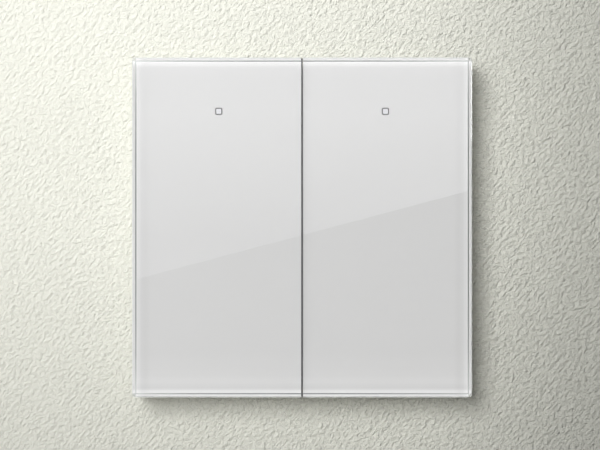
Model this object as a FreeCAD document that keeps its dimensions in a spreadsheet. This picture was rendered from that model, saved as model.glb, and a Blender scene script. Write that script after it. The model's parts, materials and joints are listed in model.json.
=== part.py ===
"""A flush-mounted light switch with two rocking glass keys.

Frame: X to the right, Y into the wall, Z up. The origin is on the wall's surface, in the middle of
the four fixing slots. "Out" is the distance from the wall's surface towards the room, so out = -Y,
and what sits in the wall box has a negative out. All sizes are in millimetres.
"""

import FreeCAD, Part
import Sketcher
import os

Vector = FreeCAD.Vector
SIDES = (-1, 1)

SIZES = {
    # The glass front
    "front_width": 86.0,
    "front_height": 86.0,
    "key_gap": 0.4,
    "glass_thickness": 3.0,
    "glass_chamfer": 0.95,
    "glass_corner": 0.8,
    "glass_arris": 0.2,
    "film_thickness": 0.2,
    "film_margin": 0.95,
    "film_gap_margin": 0.05,
    # How far a key tilts each way, in degrees
    "key_tilt": 1.6,
    # The indicator in each key
    "indicator_offset": 0.48,
    "indicator_drop": 13.58,
    "seal_size": 1.85,
    "seal_wall": 0.3,
    "seal_corner": 0.45,
    "seal_fit": 0.02,
    "window_recess": 0.2,
    # The moulded key carriers
    "carrier_thickness": 1.4,
    "carrier_margin": 0.6,
    "carrier_gap_margin": 0.1,
    "rim_thickness": 1.4,
    "gap_rim_thickness": 1.2,
    "rim_wall_gap": 2.2,
    "rib_thickness": 1.0,
    "rib_height": 1.0,
    "pad_radius": 2.5,
    "pad_height": 0.4,
    # The hinge of each key
    "pin_radius": 0.9,
    "pin_floor_gap": 0.2,
    "pin_fit": 0.01,
    "pin_overhang": 0.4,
    "hook_running_gap": 0.03,
    "hook_wall": 1.2,
    "hook_length": 3.0,
    "hook_reach": 0.6,
    "hook_side_gap": 0.3,
    "post_length": 3.0,
    "post_depth": 4.0,
    "post_wall": 0.7,
    "post_gap": 0.3,
    "hinge_span": 18.2,
    # The base frame
    "frame_rim_gap": 0.4,
    "frame_wall": 1.4,
    "frame_plate": 1.2,
    "frame_lip": 0.6,
    "frame_corner": 1.5,
    "frame_rib": 2.0,
    "screw_head_room": 2.0,
    "bay_width": 10.0,
    "bay_reach": 4.0,
    # The steel support ring
    "ring_margin": 1.7,
    "ring_thickness": 1.0,
    "ring_corner": 5.0,
    "ring_clearance": 1.5,
    "fixing_centres": 60.0,
    "fixing_slot_width": 3.6,
    "fixing_slot_length": 5.0,
    "leg_width": 16.0,
    "leg_screw_out": -15.0,
    "leg_end_margin": 4.0,
    # The cover and its four screws into the ring
    "cover_size": 66.0,
    "cover_thickness": 1.4,
    "cover_corner": 3.0,
    "module_screw_place": 30.0,
    "module_screw_radius": 1.25,
    "module_screw_head": 2.25,
    "module_screw_head_height": 1.4,
    "module_screw_set_back": 0.2,
    "screw_hole_fit": 0.15,
    "screw_thread_fit": 0.02,
    "screw_recess": 0.6,
    "screw_recess_width": 0.5,
    "cross_share": 0.6,
    "slot_share": 0.75,
    # The module housing behind the cover
    "tub_size": 49.0,
    "tub_wall": 1.2,
    "tub_corner": 2.0,
    "standoff_height": 2.4,
    "boss_radius": 2.2,
    "boss_inset": 3.0,
    "boss_z": 9.0,
    "housing_screw_radius": 1.0,
    "housing_screw_head": 1.8,
    "housing_screw_head_height": 1.3,
    "housing_screw_grip": 3.6,
    # The control board and what is on it
    "board_thickness": 1.0,
    "board_clearance": 0.3,
    "chip_size": 7.0,
    "chip_height": 0.9,
    "chip_z": 7.0,
    "lamp_width": 1.6,
    "lamp_depth": 0.8,
    "lamp_height": 0.6,
    "lamp_side_inset": 2.25,
    "lamp_top_inset": 1.7,
    "component_length": 1.6,
    "component_width": 0.8,
    "component_height": 0.7,
    "component_pitch": 2.6,
    # The light pipes
    "pipe_width": 1.8,
    "pipe_limb": 1.5,
    "pipe_facet": 1.3,
    "pipe_hole_fit": 0.2,
    "pipe_lamp_gap": 0.2,
    # The push switches
    "switch_x": 12.8,
    "switch_margin": 1.3,
    "switch_size": 7.0,
    "switch_height": 4.4,
    "switch_cover_gap": 0.2,
    "switch_bore": 2.6,
    "switch_top": 0.7,
    "switch_base": 0.5,
    "stem_radius": 1.5,
    "stem_gap": 0.05,
    "stem_running_gap": 0.03,
    "stem_dome": 1.2,
    "collar_radius": 2.3,
    "collar_thickness": 0.7,
    "collar_top_gap": 0.85,
    "nose_radius": 0.8,
    "nose_length": 0.4,
    "stem_hole_fit": 0.3,
    "contact_place": 1.85,
    "contact_width": 0.5,
    "contact_depth": 0.9,
    "contact_height": 1.1,
    "spring_radius": 1.15,
    "spring_wire": 0.15,
    "spring_turns": 2.5,
    # The plug-in link between the module and the power part
    "link_z": -13.0,
    "link_pitch": 2.54,
    "link_width": 13.2,
    "link_depth": 5.6,
    "link_window_fit": 0.3,
    "link_pin": 0.64,
    "link_hole_fit": 0.13,
    "link_hole_depth": 3.0,
    "link_pin_entry": 2.6,
    "header_height": 2.4,
    "header_fit": 0.02,
    # The power part in the wall box
    "insert_gap": 0.8,
    "insert_wall": 1.6,
    "insert_cover": 1.4,
    "insert_post_radius": 2.5,
    "insert_post_inset": 6.3,
    "low_post_side_gap": 0.6,
    "low_post_gap": 1.8,
    "insert_cover_boss": 2.6,
    "leg_side_gap": 0.1,
    "power_board_thickness": 1.6,
    "power_board_clearance": 0.4,
    "component_room": 14.8,
    "insert_screw_radius": 1.1,
    "insert_screw_head": 2.0,
    "insert_screw_length": 11.0,
    "bracket_screw_radius": 1.25,
    "bracket_screw_head": 2.4,
    "bracket_screw_head_height": 1.4,
    "bracket_screw_tip": 0.8,
    # Parts on the power board
    "relay_width": 10.0,
    "relay_length": 19.0,
    "relay_depth": 12.5,
    "relay_gap": 0.6,
    "relay_z": 6.5,
    "relay_corner": 0.8,
    "transformer_width": 16.0,
    "transformer_length": 7.0,
    "transformer_depth": 10.0,
    "capacitor_radius": 4.0,
    "capacitor_depth": 11.0,
    "capacitor_z": 5.0,
    "surge_disc_radius": 4.5,
    "surge_disc_thickness": 4.0,
    "surge_disc_z": 5.0,
    "side_part_gap": 1.5,
    # Terminals
    "terminal_pitch": 5.6,
    "terminal_count": 5,
    "terminal_end_wall": 1.1,
    "terminal_end_gap": 0.3,
    "terminal_height": 10.0,
    "terminal_depth": 12.0,
    "clamp_width": 4.0,
    "clamp_height": 5.0,
    "clamp_depth": 6.0,
    "clamp_fit": 0.1,
    "clamp_setback": 1.5,
    "clamp_rise": 2.5,
    "clamp_tab": 0.8,
    "clamp_tab_width": 2.0,
    "wire_radius": 1.4,
    "wire_entry_radius": 1.6,
    "wire_funnel_radius": 1.9,
    "terminal_screw_radius": 1.25,
    "terminal_screw_head": 1.9,
    "terminal_screw_head_height": 1.2,
    "terminal_driver_radius": 2.2,
}

doc = FreeCAD.newDocument("light_switch")
sheet = doc.addObject("Spreadsheet::Sheet", "Sizes")
for row, (alias, number) in enumerate(SIZES.items(), start=1):
    sheet.set(f"A{row}", alias)
    sheet.set(f"B{row}", str(number))
    sheet.setAlias(f"B{row}", alias)
doc.recompute()

# Levels in front of the wall, each stacked on the one before
RING_FRONT = "Sizes.ring_thickness"
FRAME_FRONT = f"({RING_FRONT} + Sizes.screw_head_room)"
COVER_FRONT = f"({FRAME_FRONT} + Sizes.cover_thickness)"
HINGE_OUT = f"({COVER_FRONT} + Sizes.pin_floor_gap + Sizes.pin_radius)"
POST_FRONT = f"({HINGE_OUT} + Sizes.pin_radius + Sizes.post_wall)"
CARRIER_BACK = f"({POST_FRONT} + Sizes.post_gap)"
CARRIER_FRONT = f"({CARRIER_BACK} + Sizes.carrier_thickness)"
GLASS_BACK = f"({CARRIER_FRONT} + Sizes.film_thickness)"
PAD_BACK = f"({CARRIER_BACK} - Sizes.pad_height)"

# How far the end of a key swings towards the wall, and the rims that have to leave room for it
SWING = "(Sizes.front_height / 2 * tan(Sizes.key_tilt * 1deg))"
RIM_BACK = f"(Sizes.rim_wall_gap + {SWING})"
GAP_RIM_BACK = f"({COVER_FRONT} + {SWING})"

# Levels behind the wall's surface
BOARD_FRONT = f"({FRAME_FRONT} - Sizes.switch_cover_gap - Sizes.switch_height)"
BOARD_BACK = f"({BOARD_FRONT} - Sizes.board_thickness)"
TUB_FLOOR = f"({BOARD_BACK} - Sizes.standoff_height)"
TUB_BACK = f"({TUB_FLOOR} - Sizes.tub_wall)"
INSERT_FRONT = f"({TUB_BACK} - Sizes.insert_gap)"
INSERT_RIM = f"({INSERT_FRONT} - Sizes.insert_cover)"
POWER_FRONT = f"({INSERT_RIM} - Sizes.insert_cover_boss)"
POWER_BACK = f"({POWER_FRONT} - Sizes.power_board_thickness)"
INSERT_FLOOR = f"({POWER_BACK} - Sizes.component_room)"
INSERT_BACK = f"({INSERT_FLOOR} - Sizes.insert_wall)"

# Widths that several pieces share
KEY_LEFT = "(Sizes.key_gap / 2)"
KEY_RIGHT = "(Sizes.front_width / 2)"
KEY_TOP = "(Sizes.front_height / 2)"
CARRIER_LEFT = f"({KEY_LEFT} + Sizes.carrier_gap_margin)"
CARRIER_RIGHT = f"({KEY_RIGHT} - Sizes.carrier_margin)"
CARRIER_TOP = f"({KEY_TOP} - Sizes.carrier_margin)"
RIM_LEFT = f"({CARRIER_LEFT} + Sizes.gap_rim_thickness)"
RIM_RIGHT = f"({CARRIER_RIGHT} - Sizes.rim_thickness)"
RIM_TOP = f"({CARRIER_TOP} - Sizes.rim_thickness)"
FRAME_RIGHT = f"({RIM_RIGHT} - Sizes.frame_rim_gap)"
FRAME_TOP = f"({RIM_TOP} - Sizes.frame_rim_gap)"
KEY_MIDDLE = f"(({KEY_LEFT} + {KEY_RIGHT}) / 2)"
POST_INNER = f"({KEY_MIDDLE} - Sizes.hinge_span / 2)"
POST_OUTER = f"({KEY_MIDDLE} + Sizes.hinge_span / 2)"
INDICATOR_X = f"({KEY_MIDDLE} - Sizes.indicator_offset)"
INDICATOR_Z = f"({KEY_TOP} - Sizes.indicator_drop)"
FRAME_INSIDE_X = f"({FRAME_RIGHT} - Sizes.frame_wall)"
FRAME_INSIDE_Z = f"({FRAME_TOP} - Sizes.frame_wall)"
RING_RIGHT = f"({FRAME_INSIDE_X} - Sizes.ring_margin)"
RING_TOP = f"({FRAME_INSIDE_Z} - Sizes.ring_margin)"
FIXING_REACH = "(Sizes.fixing_centres / 2)"
TUB_INSIDE = "(Sizes.tub_size - 2 * Sizes.tub_wall)"
BOSS_X = f"({TUB_INSIDE} / 2 - Sizes.boss_inset)"
SWITCH_Z = f"({TUB_INSIDE} / 2 - Sizes.switch_margin - Sizes.switch_size / 2)"
LAMP_X = f"({TUB_INSIDE} / 2 - Sizes.lamp_side_inset)"
LAMP_Z = f"({TUB_INSIDE} / 2 - Sizes.lamp_top_inset)"
RING_OPENING = "(Sizes.tub_size + 2 * Sizes.ring_clearance)"
LEG_INSIDE = f"({RING_OPENING} / 2 - Sizes.ring_thickness)"
INSERT_SIDE = f"({LEG_INSIDE} - Sizes.leg_side_gap)"
INSERT_INSIDE = f"({INSERT_SIDE} - Sizes.insert_wall)"
TERMINAL_LOW = f"(-{INSERT_INSIDE})"
TERMINAL_TOP = f"({TERMINAL_LOW} + Sizes.terminal_height)"
TERMINAL_REACH = "((Sizes.terminal_count - 1) / 2 * Sizes.terminal_pitch + Sizes.clamp_width / 2)"
TERMINAL_HALF = f"({TERMINAL_REACH} + Sizes.clamp_fit + Sizes.terminal_end_wall)"
CLAMP_MIDDLE = f"({TERMINAL_LOW} + Sizes.clamp_rise + Sizes.clamp_height / 2)"
CLAMP_BACK = f"({INSERT_FLOOR} + Sizes.terminal_depth - Sizes.clamp_setback - Sizes.clamp_depth)"
CLAMP_FRONT = f"({CLAMP_BACK} + Sizes.clamp_depth)"
# A wall of even thickness inside a chamfered square takes this share of the wall off the chamfer
CHAMFER_SHARE = "(2 - sqrt(2))"
# The insert's chamfers start just past the ends of the terminal block
INNER_CHAMFER = f"({INSERT_INSIDE} - {TERMINAL_HALF} - Sizes.terminal_end_gap)"
INSERT_CHAMFER = f"({INNER_CHAMFER} + Sizes.insert_wall * {CHAMFER_SHARE})"

nodes = []


def value(expression):
    """The number that an expression comes to now."""
    result = sheet.evalExpression(expression)
    return float(getattr(result, "Value", result))


def node(thing, label):
    """Names a finished sub-part and lists it for the export."""
    thing.Label = label
    nodes.append(thing)
    return thing


# Sketching helpers


def new_body(label):
    """A body that may hold several like solids, such as a set of screws."""
    body = doc.addObject("PartDesign::Body", label + "_body")
    return node(body, label)


def sketch(body, plane, level="0"):
    """A sketch parallel to one of the body's origin planes, at a level along the plane's normal."""
    drawing = body.newObject("Sketcher::SketchObject", "sketch")
    origin = [feature for feature in body.Origin.OriginFeatures if feature.Role == plane][0]
    drawing.AttachmentSupport = [(origin, "")]
    drawing.MapMode = "FlatFace"
    drawing.setExpression("AttachmentOffset.Base.z", level)
    return drawing


def front_sketch(body, out):
    """A sketch that faces the room, X to the right and Z up, at a distance out of the wall."""
    return sketch(body, "XZ_Plane", out)


def side_sketch(body, place):
    """A sketch that faces right, Y to the right and Z up, at a place along X."""
    return sketch(body, "YZ_Plane", place)


def tie(drawing, kind, *where, to):
    """Adds a dimension whose value is an expression."""
    number = drawing.addConstraint(Sketcher.Constraint(kind, *where, value(to)))
    drawing.setExpression(f"Constraints[{number}]", to)


def line_loop(drawing, corners):
    """Closed straight lines through corners, returning the number of the first line."""
    first = drawing.GeometryCount
    for place, corner in enumerate(corners):
        following = corners[(place + 1) % len(corners)]
        drawing.addGeometry(Part.LineSegment(corner, following))
    for place in range(len(corners)):
        following = (place + 1) % len(corners)
        drawing.addConstraint(Sketcher.Constraint("Coincident", first + place, 2, first + following, 1))
    return first


def rectangle(drawing, left, right, low, high):
    """A rectangle whose four sides lie where the expressions say."""
    x1, x2, y1, y2 = (value(side) for side in (left, right, low, high))
    corners = [Vector(x1, y1), Vector(x2, y1), Vector(x2, y2), Vector(x1, y2)]
    bottom = line_loop(drawing, corners)
    for step, kind in enumerate(("Horizontal", "Vertical", "Horizontal", "Vertical")):
        drawing.addConstraint(Sketcher.Constraint(kind, bottom + step))
    tie(drawing, "DistanceX", -1, 1, bottom, 1, to=left)
    tie(drawing, "DistanceY", -1, 1, bottom, 1, to=low)
    tie(drawing, "DistanceX", bottom, 1, bottom, 2, to=f"{right} - {left}")
    tie(drawing, "DistanceY", bottom + 1, 1, bottom + 1, 2, to=f"{high} - {low}")


def block(drawing, middle_x, middle_y, width, height):
    """A rectangle given by its middle and its two sizes."""
    rectangle(
        drawing,
        f"({middle_x} - {width} / 2)",
        f"({middle_x} + {width} / 2)",
        f"({middle_y} - {height} / 2)",
        f"({middle_y} + {height} / 2)",
    )


def polygon(drawing, points):
    """Straight lines through points, each point tied to the origin by two expressions."""
    corners = [Vector(value(across), value(up)) for across, up in points]
    first = line_loop(drawing, corners)
    for place, (across, up) in enumerate(points):
        tie(drawing, "DistanceX", -1, 1, first + place, 1, to=across)
        tie(drawing, "DistanceY", -1, 1, first + place, 1, to=up)


def circle(drawing, middle_x, middle_y, radius):
    """A circle tied by its middle and its radius."""
    middle = Vector(value(middle_x), value(middle_y))
    number = drawing.addGeometry(Part.Circle(middle, Vector(0, 0, 1), value(radius)))
    tie(drawing, "DistanceX", -1, 1, number, 3, to=middle_x)
    tie(drawing, "DistanceY", -1, 1, number, 3, to=middle_y)
    tie(drawing, "Radius", number, to=radius)


def octagon(drawing, flat, chamfer):
    """A square with its four corners cut off, given by the distance to its sides."""
    short = f"({flat} - {chamfer})"
    polygon(
        drawing,
        [
            (f"-{short}", f"-{flat}"),
            (short, f"-{flat}"),
            (flat, f"-{short}"),
            (flat, short),
            (short, flat),
            (f"-{short}", flat),
            (f"-{flat}", short),
            (f"-{flat}", f"-{short}"),
        ],
    )


def slot(drawing, middle_x, middle_y, length, width, along_x):
    """A slot with round ends, lying along X or along the other axis of the sketch."""
    half = f"(({length} - {width}) / 2)"
    x, y, reach, radius = (value(part) for part in (middle_x, middle_y, half, f"{width} / 2"))
    along = Vector(1, 0) if along_x else Vector(0, 1)
    across = Vector(-along.y, along.x)
    middle = Vector(x, y)
    ends = [middle - along * reach, middle + along * reach]
    first = drawing.GeometryCount
    for end, way in zip(ends, (-1, 1)):
        start = end - across * radius * way
        tip = end + along * radius * way
        stop = end + across * radius * way
        drawing.addGeometry(Part.Arc(start, tip, stop))
    for way in SIDES:
        drawing.addGeometry(Part.LineSegment(ends[0] + across * radius * way, ends[1] + across * radius * way))
    low_arc, high_arc, low_line, high_line = range(first, first + 4)
    join_slot(drawing, (low_arc, high_arc), (low_line, high_line))
    kinds = ("DistanceX", "DistanceY") if along_x else ("DistanceY", "DistanceX")
    place, level = (middle_x, middle_y) if along_x else (middle_y, middle_x)
    tie(drawing, kinds[0], -1, 1, low_arc, 3, to=f"{place} - {half}")
    tie(drawing, kinds[1], -1, 1, low_arc, 3, to=level)
    tie(drawing, kinds[0], low_arc, 3, high_arc, 3, to=f"2 * {half}")
    tie(drawing, "Radius", low_arc, to=f"{width} / 2")
    drawing.addConstraint(Sketcher.Constraint("Horizontal" if along_x else "Vertical", low_line))


def join_slot(drawing, arcs, lines):
    """Makes each line of a slot meet both arcs smoothly."""
    for line in lines:
        start, stop = drawing.Geometry[line].StartPoint, drawing.Geometry[line].EndPoint
        for arc in arcs:
            curve = drawing.Geometry[arc]
            for arc_end, arc_point in ((1, curve.StartPoint), (2, curve.EndPoint)):
                for line_end, line_point in ((1, start), (2, stop)):
                    if arc_point.distanceToPoint(line_point) < 1e-6:
                        meeting = Sketcher.Constraint("Tangent", arc, arc_end, line, line_end)
                        drawing.addConstraint(meeting)


# Feature helpers


def pad(body, drawing, length):
    """Pads a sketch along its normal."""
    feature = body.newObject("PartDesign::Pad", "pad")
    feature.Profile = drawing
    feature.setExpression("Length", length)
    drawing.Visibility = False
    doc.recompute()
    return feature


def pocket(body, drawing, depth, forwards=False):
    """Cuts a sketch to a depth against its normal, or along it, and makes sure that it cuts."""
    before = body.Shape.Volume
    feature = body.newObject("PartDesign::Pocket", "pocket")
    feature.Profile = drawing
    feature.Reversed = forwards
    feature.setExpression("Length", depth)
    drawing.Visibility = False
    doc.recompute()
    if not body.Shape.Volume < before - 1e-9:
        raise RuntimeError(f"a pocket of {body.Label} cuts nothing")
    return feature


def edges_where(feature, test):
    """Names of a feature's straight edges whose two ends pass a test."""
    names = []
    for number, edge in enumerate(feature.Shape.Edges, start=1):
        ends = [vertex.Point for vertex in edge.Vertexes]
        if len(ends) == 2 and edge.Curve.TypeId == "Part::GeomLine" and test(*ends):
            names.append(f"Edge{number}")
    return names


def round_edges(body, feature, test, radius):
    """Rounds the straight edges of the latest feature that pass a test."""
    fillet = body.newObject("PartDesign::Fillet", "fillet")
    fillet.Base = (feature, edges_where(feature, test))
    fillet.setExpression("Radius", radius)
    doc.recompute()
    return fillet


def chamfer_edges(body, feature, test, size):
    """Chamfers the straight edges of the latest feature that pass a test."""
    chamfer = body.newObject("PartDesign::Chamfer", "chamfer")
    chamfer.Base = (feature, edges_where(feature, test))
    chamfer.setExpression("Size", size)
    doc.recompute()
    return chamfer


def near(one, other):
    return abs(one - other) < 1e-6


def runs_through(start, stop):
    """True of an edge that runs straight in and out of the wall."""
    return near(start.x, stop.x) and near(start.z, stop.z)


def cuboid(name, left, right, back, front, low, high):
    """A plain box given by the places of its six faces."""
    shape = doc.addObject("Part::Box", name)
    shape.setExpression("Length", f"{right} - {left}")
    shape.setExpression("Width", f"{front} - {back}")
    shape.setExpression("Height", f"{high} - {low}")
    shape.setExpression("Placement.Base.x", left)
    shape.setExpression("Placement.Base.y", f"-{front}")
    shape.setExpression("Placement.Base.z", low)
    return shape


def component(name, middle_x, middle_z, width, height, back, front):
    """A box given by its middle in the plane of the wall."""
    return cuboid(
        name,
        f"({middle_x} - {width} / 2)",
        f"({middle_x} + {width} / 2)",
        back,
        front,
        f"({middle_z} - {height} / 2)",
        f"({middle_z} + {height} / 2)",
    )


def group(label, things):
    """Several like pieces as one node of separate solids."""
    compound = doc.addObject("Part::Compound", label + "_group")
    compound.Links = things
    return node(compound, label)


def left_copy(thing, label):
    """The same piece on the left key, mirrored."""
    copy = doc.addObject("Part::Mirroring", label + "_mirrored")
    copy.Source = thing
    copy.Base = Vector(0, 0, 0)
    copy.Normal = Vector(1, 0, 0)
    return node(copy, label)


def both_ways(x, z):
    """The four places that a place takes when it is mirrored left to right and top to bottom."""
    return [(f"({side} * {x})", f"({height} * {z})") for side in SIDES for height in SIDES]


def screw_set(label, places, bearing, head_radius, head_height, shank_radius, shank_length, way=1):
    """Screws with a cross recess, their heads out of the wall, or into it where way is -1."""
    body = new_body(label)
    heads = front_sketch(body, bearing if way == 1 else f"({bearing} - {head_height})")
    for x, z in places:
        circle(heads, x, z, head_radius)
    pad(body, heads, head_height)
    shanks = front_sketch(body, f"({bearing} - {shank_length})" if way == 1 else bearing)
    for x, z in places:
        circle(shanks, x, z, shank_radius)
    pad(body, shanks, shank_length)
    face = f"({bearing} + {head_height})" if way == 1 else f"({bearing} - {head_height})"
    long_side = f"(2 * Sizes.cross_share * {head_radius})"
    for width, height in ((long_side, "Sizes.screw_recess_width"), ("Sizes.screw_recess_width", long_side)):
        recess = front_sketch(body, face)
        for x, z in places:
            block(recess, x, z, width, height)
        pocket(body, recess, "Sizes.screw_recess", forwards=way == -1)
    return body


# The two keys: glass, film, indicator and carrier


def make_glass():
    """A glass plate with a polished chamfer on its three outer sides."""
    body = new_body("glass_right")
    outline = front_sketch(body, GLASS_BACK)
    rectangle(outline, KEY_LEFT, KEY_RIGHT, f"(-{KEY_TOP})", KEY_TOP)
    plate = pad(body, outline, "Sizes.glass_thickness")
    front = value(f"-{GLASS_BACK} - Sizes.glass_thickness")
    gap_side = value(KEY_LEFT)

    def outer_front(start, stop):
        on_front = near(start.y, front) and near(stop.y, front)
        return on_front and not (near(start.x, gap_side) and near(stop.x, gap_side))

    bevelled = chamfer_edges(body, plate, outer_front, "Sizes.glass_chamfer")

    def gap_edge(start, stop):
        return near(start.x, gap_side) and near(stop.x, gap_side) and near(start.y, stop.y)

    chamfer_edges(body, bevelled, gap_edge, "Sizes.glass_arris")
    corners = front_sketch(body, f"{GLASS_BACK} + Sizes.glass_thickness")
    for way in SIDES:
        corner_waste(corners, way)
    pocket(body, corners, "Sizes.glass_thickness")
    return body


def corner_waste(drawing, way):
    """The sliver outside a rounded corner at the top or the bottom of the key's outer side."""
    radius = value("Sizes.glass_corner")
    corner = Vector(value(KEY_RIGHT), way * value(KEY_TOP))
    middle = corner - Vector(radius, way * radius)
    on_end = Vector(middle.x, corner.y)
    on_side = Vector(corner.x, middle.y)
    bulge = middle + Vector(1, way).normalize() * radius
    # The arc runs anticlockwise, so it starts on the side at the top and on the end at the bottom
    start, stop = (on_side, on_end) if way == 1 else (on_end, on_side)
    side_end, end_end = (1, 2) if way == 1 else (2, 1)
    first = drawing.GeometryCount
    drawing.addGeometry(Part.LineSegment(on_end, corner))
    drawing.addGeometry(Part.LineSegment(corner, on_side))
    drawing.addGeometry(Part.Arc(start, bulge, stop))
    end_line, side_line, arc = range(first, first + 3)
    drawing.addConstraint(Sketcher.Constraint("Coincident", end_line, 2, side_line, 1))
    drawing.addConstraint(Sketcher.Constraint("Tangent", side_line, 2, arc, side_end))
    drawing.addConstraint(Sketcher.Constraint("Tangent", end_line, 1, arc, end_end))
    drawing.addConstraint(Sketcher.Constraint("Horizontal", end_line))
    drawing.addConstraint(Sketcher.Constraint("Vertical", side_line))
    tie(drawing, "DistanceX", -1, 1, end_line, 2, to=KEY_RIGHT)
    tie(drawing, "DistanceY", -1, 1, end_line, 2, to=f"{way} * {KEY_TOP}")
    tie(drawing, "Radius", arc, to="Sizes.glass_corner")


def indicator_square(body, out, size, corner, depth):
    """A small rounded square pad in the place of the indicator."""
    outline = front_sketch(body, out)
    block(outline, INDICATOR_X, INDICATOR_Z, size, size)
    square = pad(body, outline, depth)
    return round_edges(body, square, runs_through, corner)


def indicator_hole(body, front, size, depth):
    """A square hole for the light seal."""
    outline = front_sketch(body, front)
    block(outline, INDICATOR_X, INDICATOR_Z, size, size)
    return pocket(body, outline, depth)


def at_indicator(start, stop):
    """True of a corner edge of the indicator's hole."""
    close = abs(start.x - value(INDICATOR_X)) < value("Sizes.seal_size")
    level = abs(start.z - value(INDICATOR_Z)) < value("Sizes.seal_size")
    return runs_through(start, stop) and close and level


SEAL_HOLE = "(Sizes.seal_size + 2 * Sizes.seal_fit)"
WINDOW_SIZE = "(Sizes.seal_size - 2 * Sizes.seal_wall)"


def make_film():
    """White adhesive film between the glass and the carrier, cut out for the light seal."""
    body = new_body("adhesive_film_right")
    outline = front_sketch(body, CARRIER_FRONT)
    left = f"({KEY_LEFT} + Sizes.film_gap_margin)"
    right = f"({KEY_RIGHT} - Sizes.film_margin)"
    high = f"({KEY_TOP} - Sizes.film_margin)"
    rectangle(outline, left, right, f"(-{high})", high)
    pad(body, outline, "Sizes.film_thickness")
    hole = indicator_hole(body, GLASS_BACK, SEAL_HOLE, "Sizes.film_thickness")
    round_edges(body, hole, at_indicator, "Sizes.seal_corner")
    return body


def make_seal():
    """Dark square sleeve that keeps the lamp's light off the white film."""
    body = new_body("light_seal_right")
    length = f"({GLASS_BACK} - {CARRIER_BACK})"
    indicator_square(body, CARRIER_BACK, "Sizes.seal_size", "Sizes.seal_corner", length)
    bore = indicator_hole(body, GLASS_BACK, f"({WINDOW_SIZE} + 2 * Sizes.seal_fit)", length)

    def inner_corner(start, stop):
        half = value(f"{WINDOW_SIZE} / 2 + Sizes.seal_fit")
        return runs_through(start, stop) and near(abs(start.x - value(INDICATOR_X)), half)

    round_edges(body, bore, inner_corner, "(Sizes.seal_corner - Sizes.seal_wall)")
    return body


def make_window():
    """Clear plug in the light seal, which lights up as the indicator."""
    body = new_body("indicator_window_right")
    back = f"({CARRIER_BACK} - Sizes.window_recess)"
    corner = "(Sizes.seal_corner - Sizes.seal_wall)"
    indicator_square(body, back, WINDOW_SIZE, corner, f"({GLASS_BACK} - {back})")
    return body


def make_carrier():
    """Moulded tray behind the glass, with rims, ribs, push pads and two hinge hooks."""
    body = new_body("key_carrier_right")
    outline = front_sketch(body, RIM_BACK)
    rectangle(outline, CARRIER_LEFT, CARRIER_RIGHT, f"(-{CARRIER_TOP})", CARRIER_TOP)
    tray = pad(body, outline, f"({CARRIER_FRONT} - {RIM_BACK})")

    def outer_corner(start, stop):
        return runs_through(start, stop) and near(start.x, value(CARRIER_RIGHT))

    round_edges(body, tray, outer_corner, "Sizes.glass_corner")
    inside = front_sketch(body, RIM_BACK)
    rectangle(inside, RIM_LEFT, RIM_RIGHT, f"(-{RIM_TOP})", RIM_TOP)
    pocket(body, inside, f"({CARRIER_BACK} - {RIM_BACK})", forwards=True)
    low_rim = front_sketch(body, RIM_BACK)
    rectangle(low_rim, CARRIER_LEFT, RIM_LEFT, f"(-{RIM_TOP})", RIM_TOP)
    pocket(body, low_rim, f"({GAP_RIM_BACK} - {RIM_BACK})", forwards=True)
    ribs = front_sketch(body, f"({CARRIER_BACK} - Sizes.rib_height)")
    for post, way in ((POST_INNER, -1), (POST_OUTER, 1)):
        rib = f"({post} + {way} * (Sizes.post_length + Sizes.rib_thickness))"
        block(ribs, rib, "0", "Sizes.rib_thickness", f"(2 * {RIM_TOP})")
    pad(body, ribs, "Sizes.rib_height")
    pads = front_sketch(body, PAD_BACK)
    for way in SIDES:
        circle(pads, "Sizes.switch_x", f"({way} * {SWITCH_Z})", "Sizes.pad_radius")
    pad(body, pads, "Sizes.pad_height")
    add_hooks(body)
    hole = indicator_hole(body, CARRIER_FRONT, SEAL_HOLE, "Sizes.carrier_thickness")
    round_edges(body, hole, at_indicator, "Sizes.seal_corner")
    return body


def hook_middles():
    """The middles of the two hooks, which sit between the posts and close to them."""
    step = "(Sizes.post_length / 2 + Sizes.hook_side_gap + Sizes.hook_length / 2)"
    return f"({POST_INNER} + {step})", f"({POST_OUTER} - {step})"


def add_hooks(body):
    """Two open hooks that clip over the hinge pin."""
    hook_end = f"({HINGE_OUT} - Sizes.hook_reach)"
    bore = "(Sizes.pin_radius + Sizes.hook_running_gap)"
    inner, outer = hook_middles()
    hooks = front_sketch(body, hook_end)
    for middle in (inner, outer):
        block(hooks, middle, "0", "Sizes.hook_length", f"(2 * ({bore} + Sizes.hook_wall))")
    pad(body, hooks, f"({CARRIER_BACK} - {hook_end})")
    right_face = f"({outer} + Sizes.hook_length / 2)"
    span = f"({outer} - {inner} + Sizes.hook_length)"
    seat = side_sketch(body, right_face)
    circle(seat, f"(-{HINGE_OUT})", "0", bore)
    pocket(body, seat, span)
    mouth = side_sketch(body, right_face)
    rectangle(mouth, f"(-{HINGE_OUT})", f"(-{hook_end})", f"(-{bore})", bore)
    pocket(body, mouth, span)


def make_pin():
    """Steel hinge pin held in two posts of the module cover."""
    length = f"({POST_OUTER} - {POST_INNER} + Sizes.post_length + 2 * Sizes.pin_overhang)"
    pin = doc.addObject("Part::Cylinder", "pin")
    pin.setExpression("Radius", "Sizes.pin_radius")
    pin.setExpression("Height", length)
    pin.Placement = FreeCAD.Placement(Vector(0, 0, 0), FreeCAD.Rotation(Vector(0, 1, 0), 90))
    pin.setExpression("Placement.Base.x", f"{POST_INNER} - Sizes.post_length / 2 - Sizes.pin_overhang")
    pin.setExpression("Placement.Base.y", f"-{HINGE_OUT}")
    return node(pin, "hinge_pin_right")


# In front of the wall: ring, base frame, cover and screws


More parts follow.
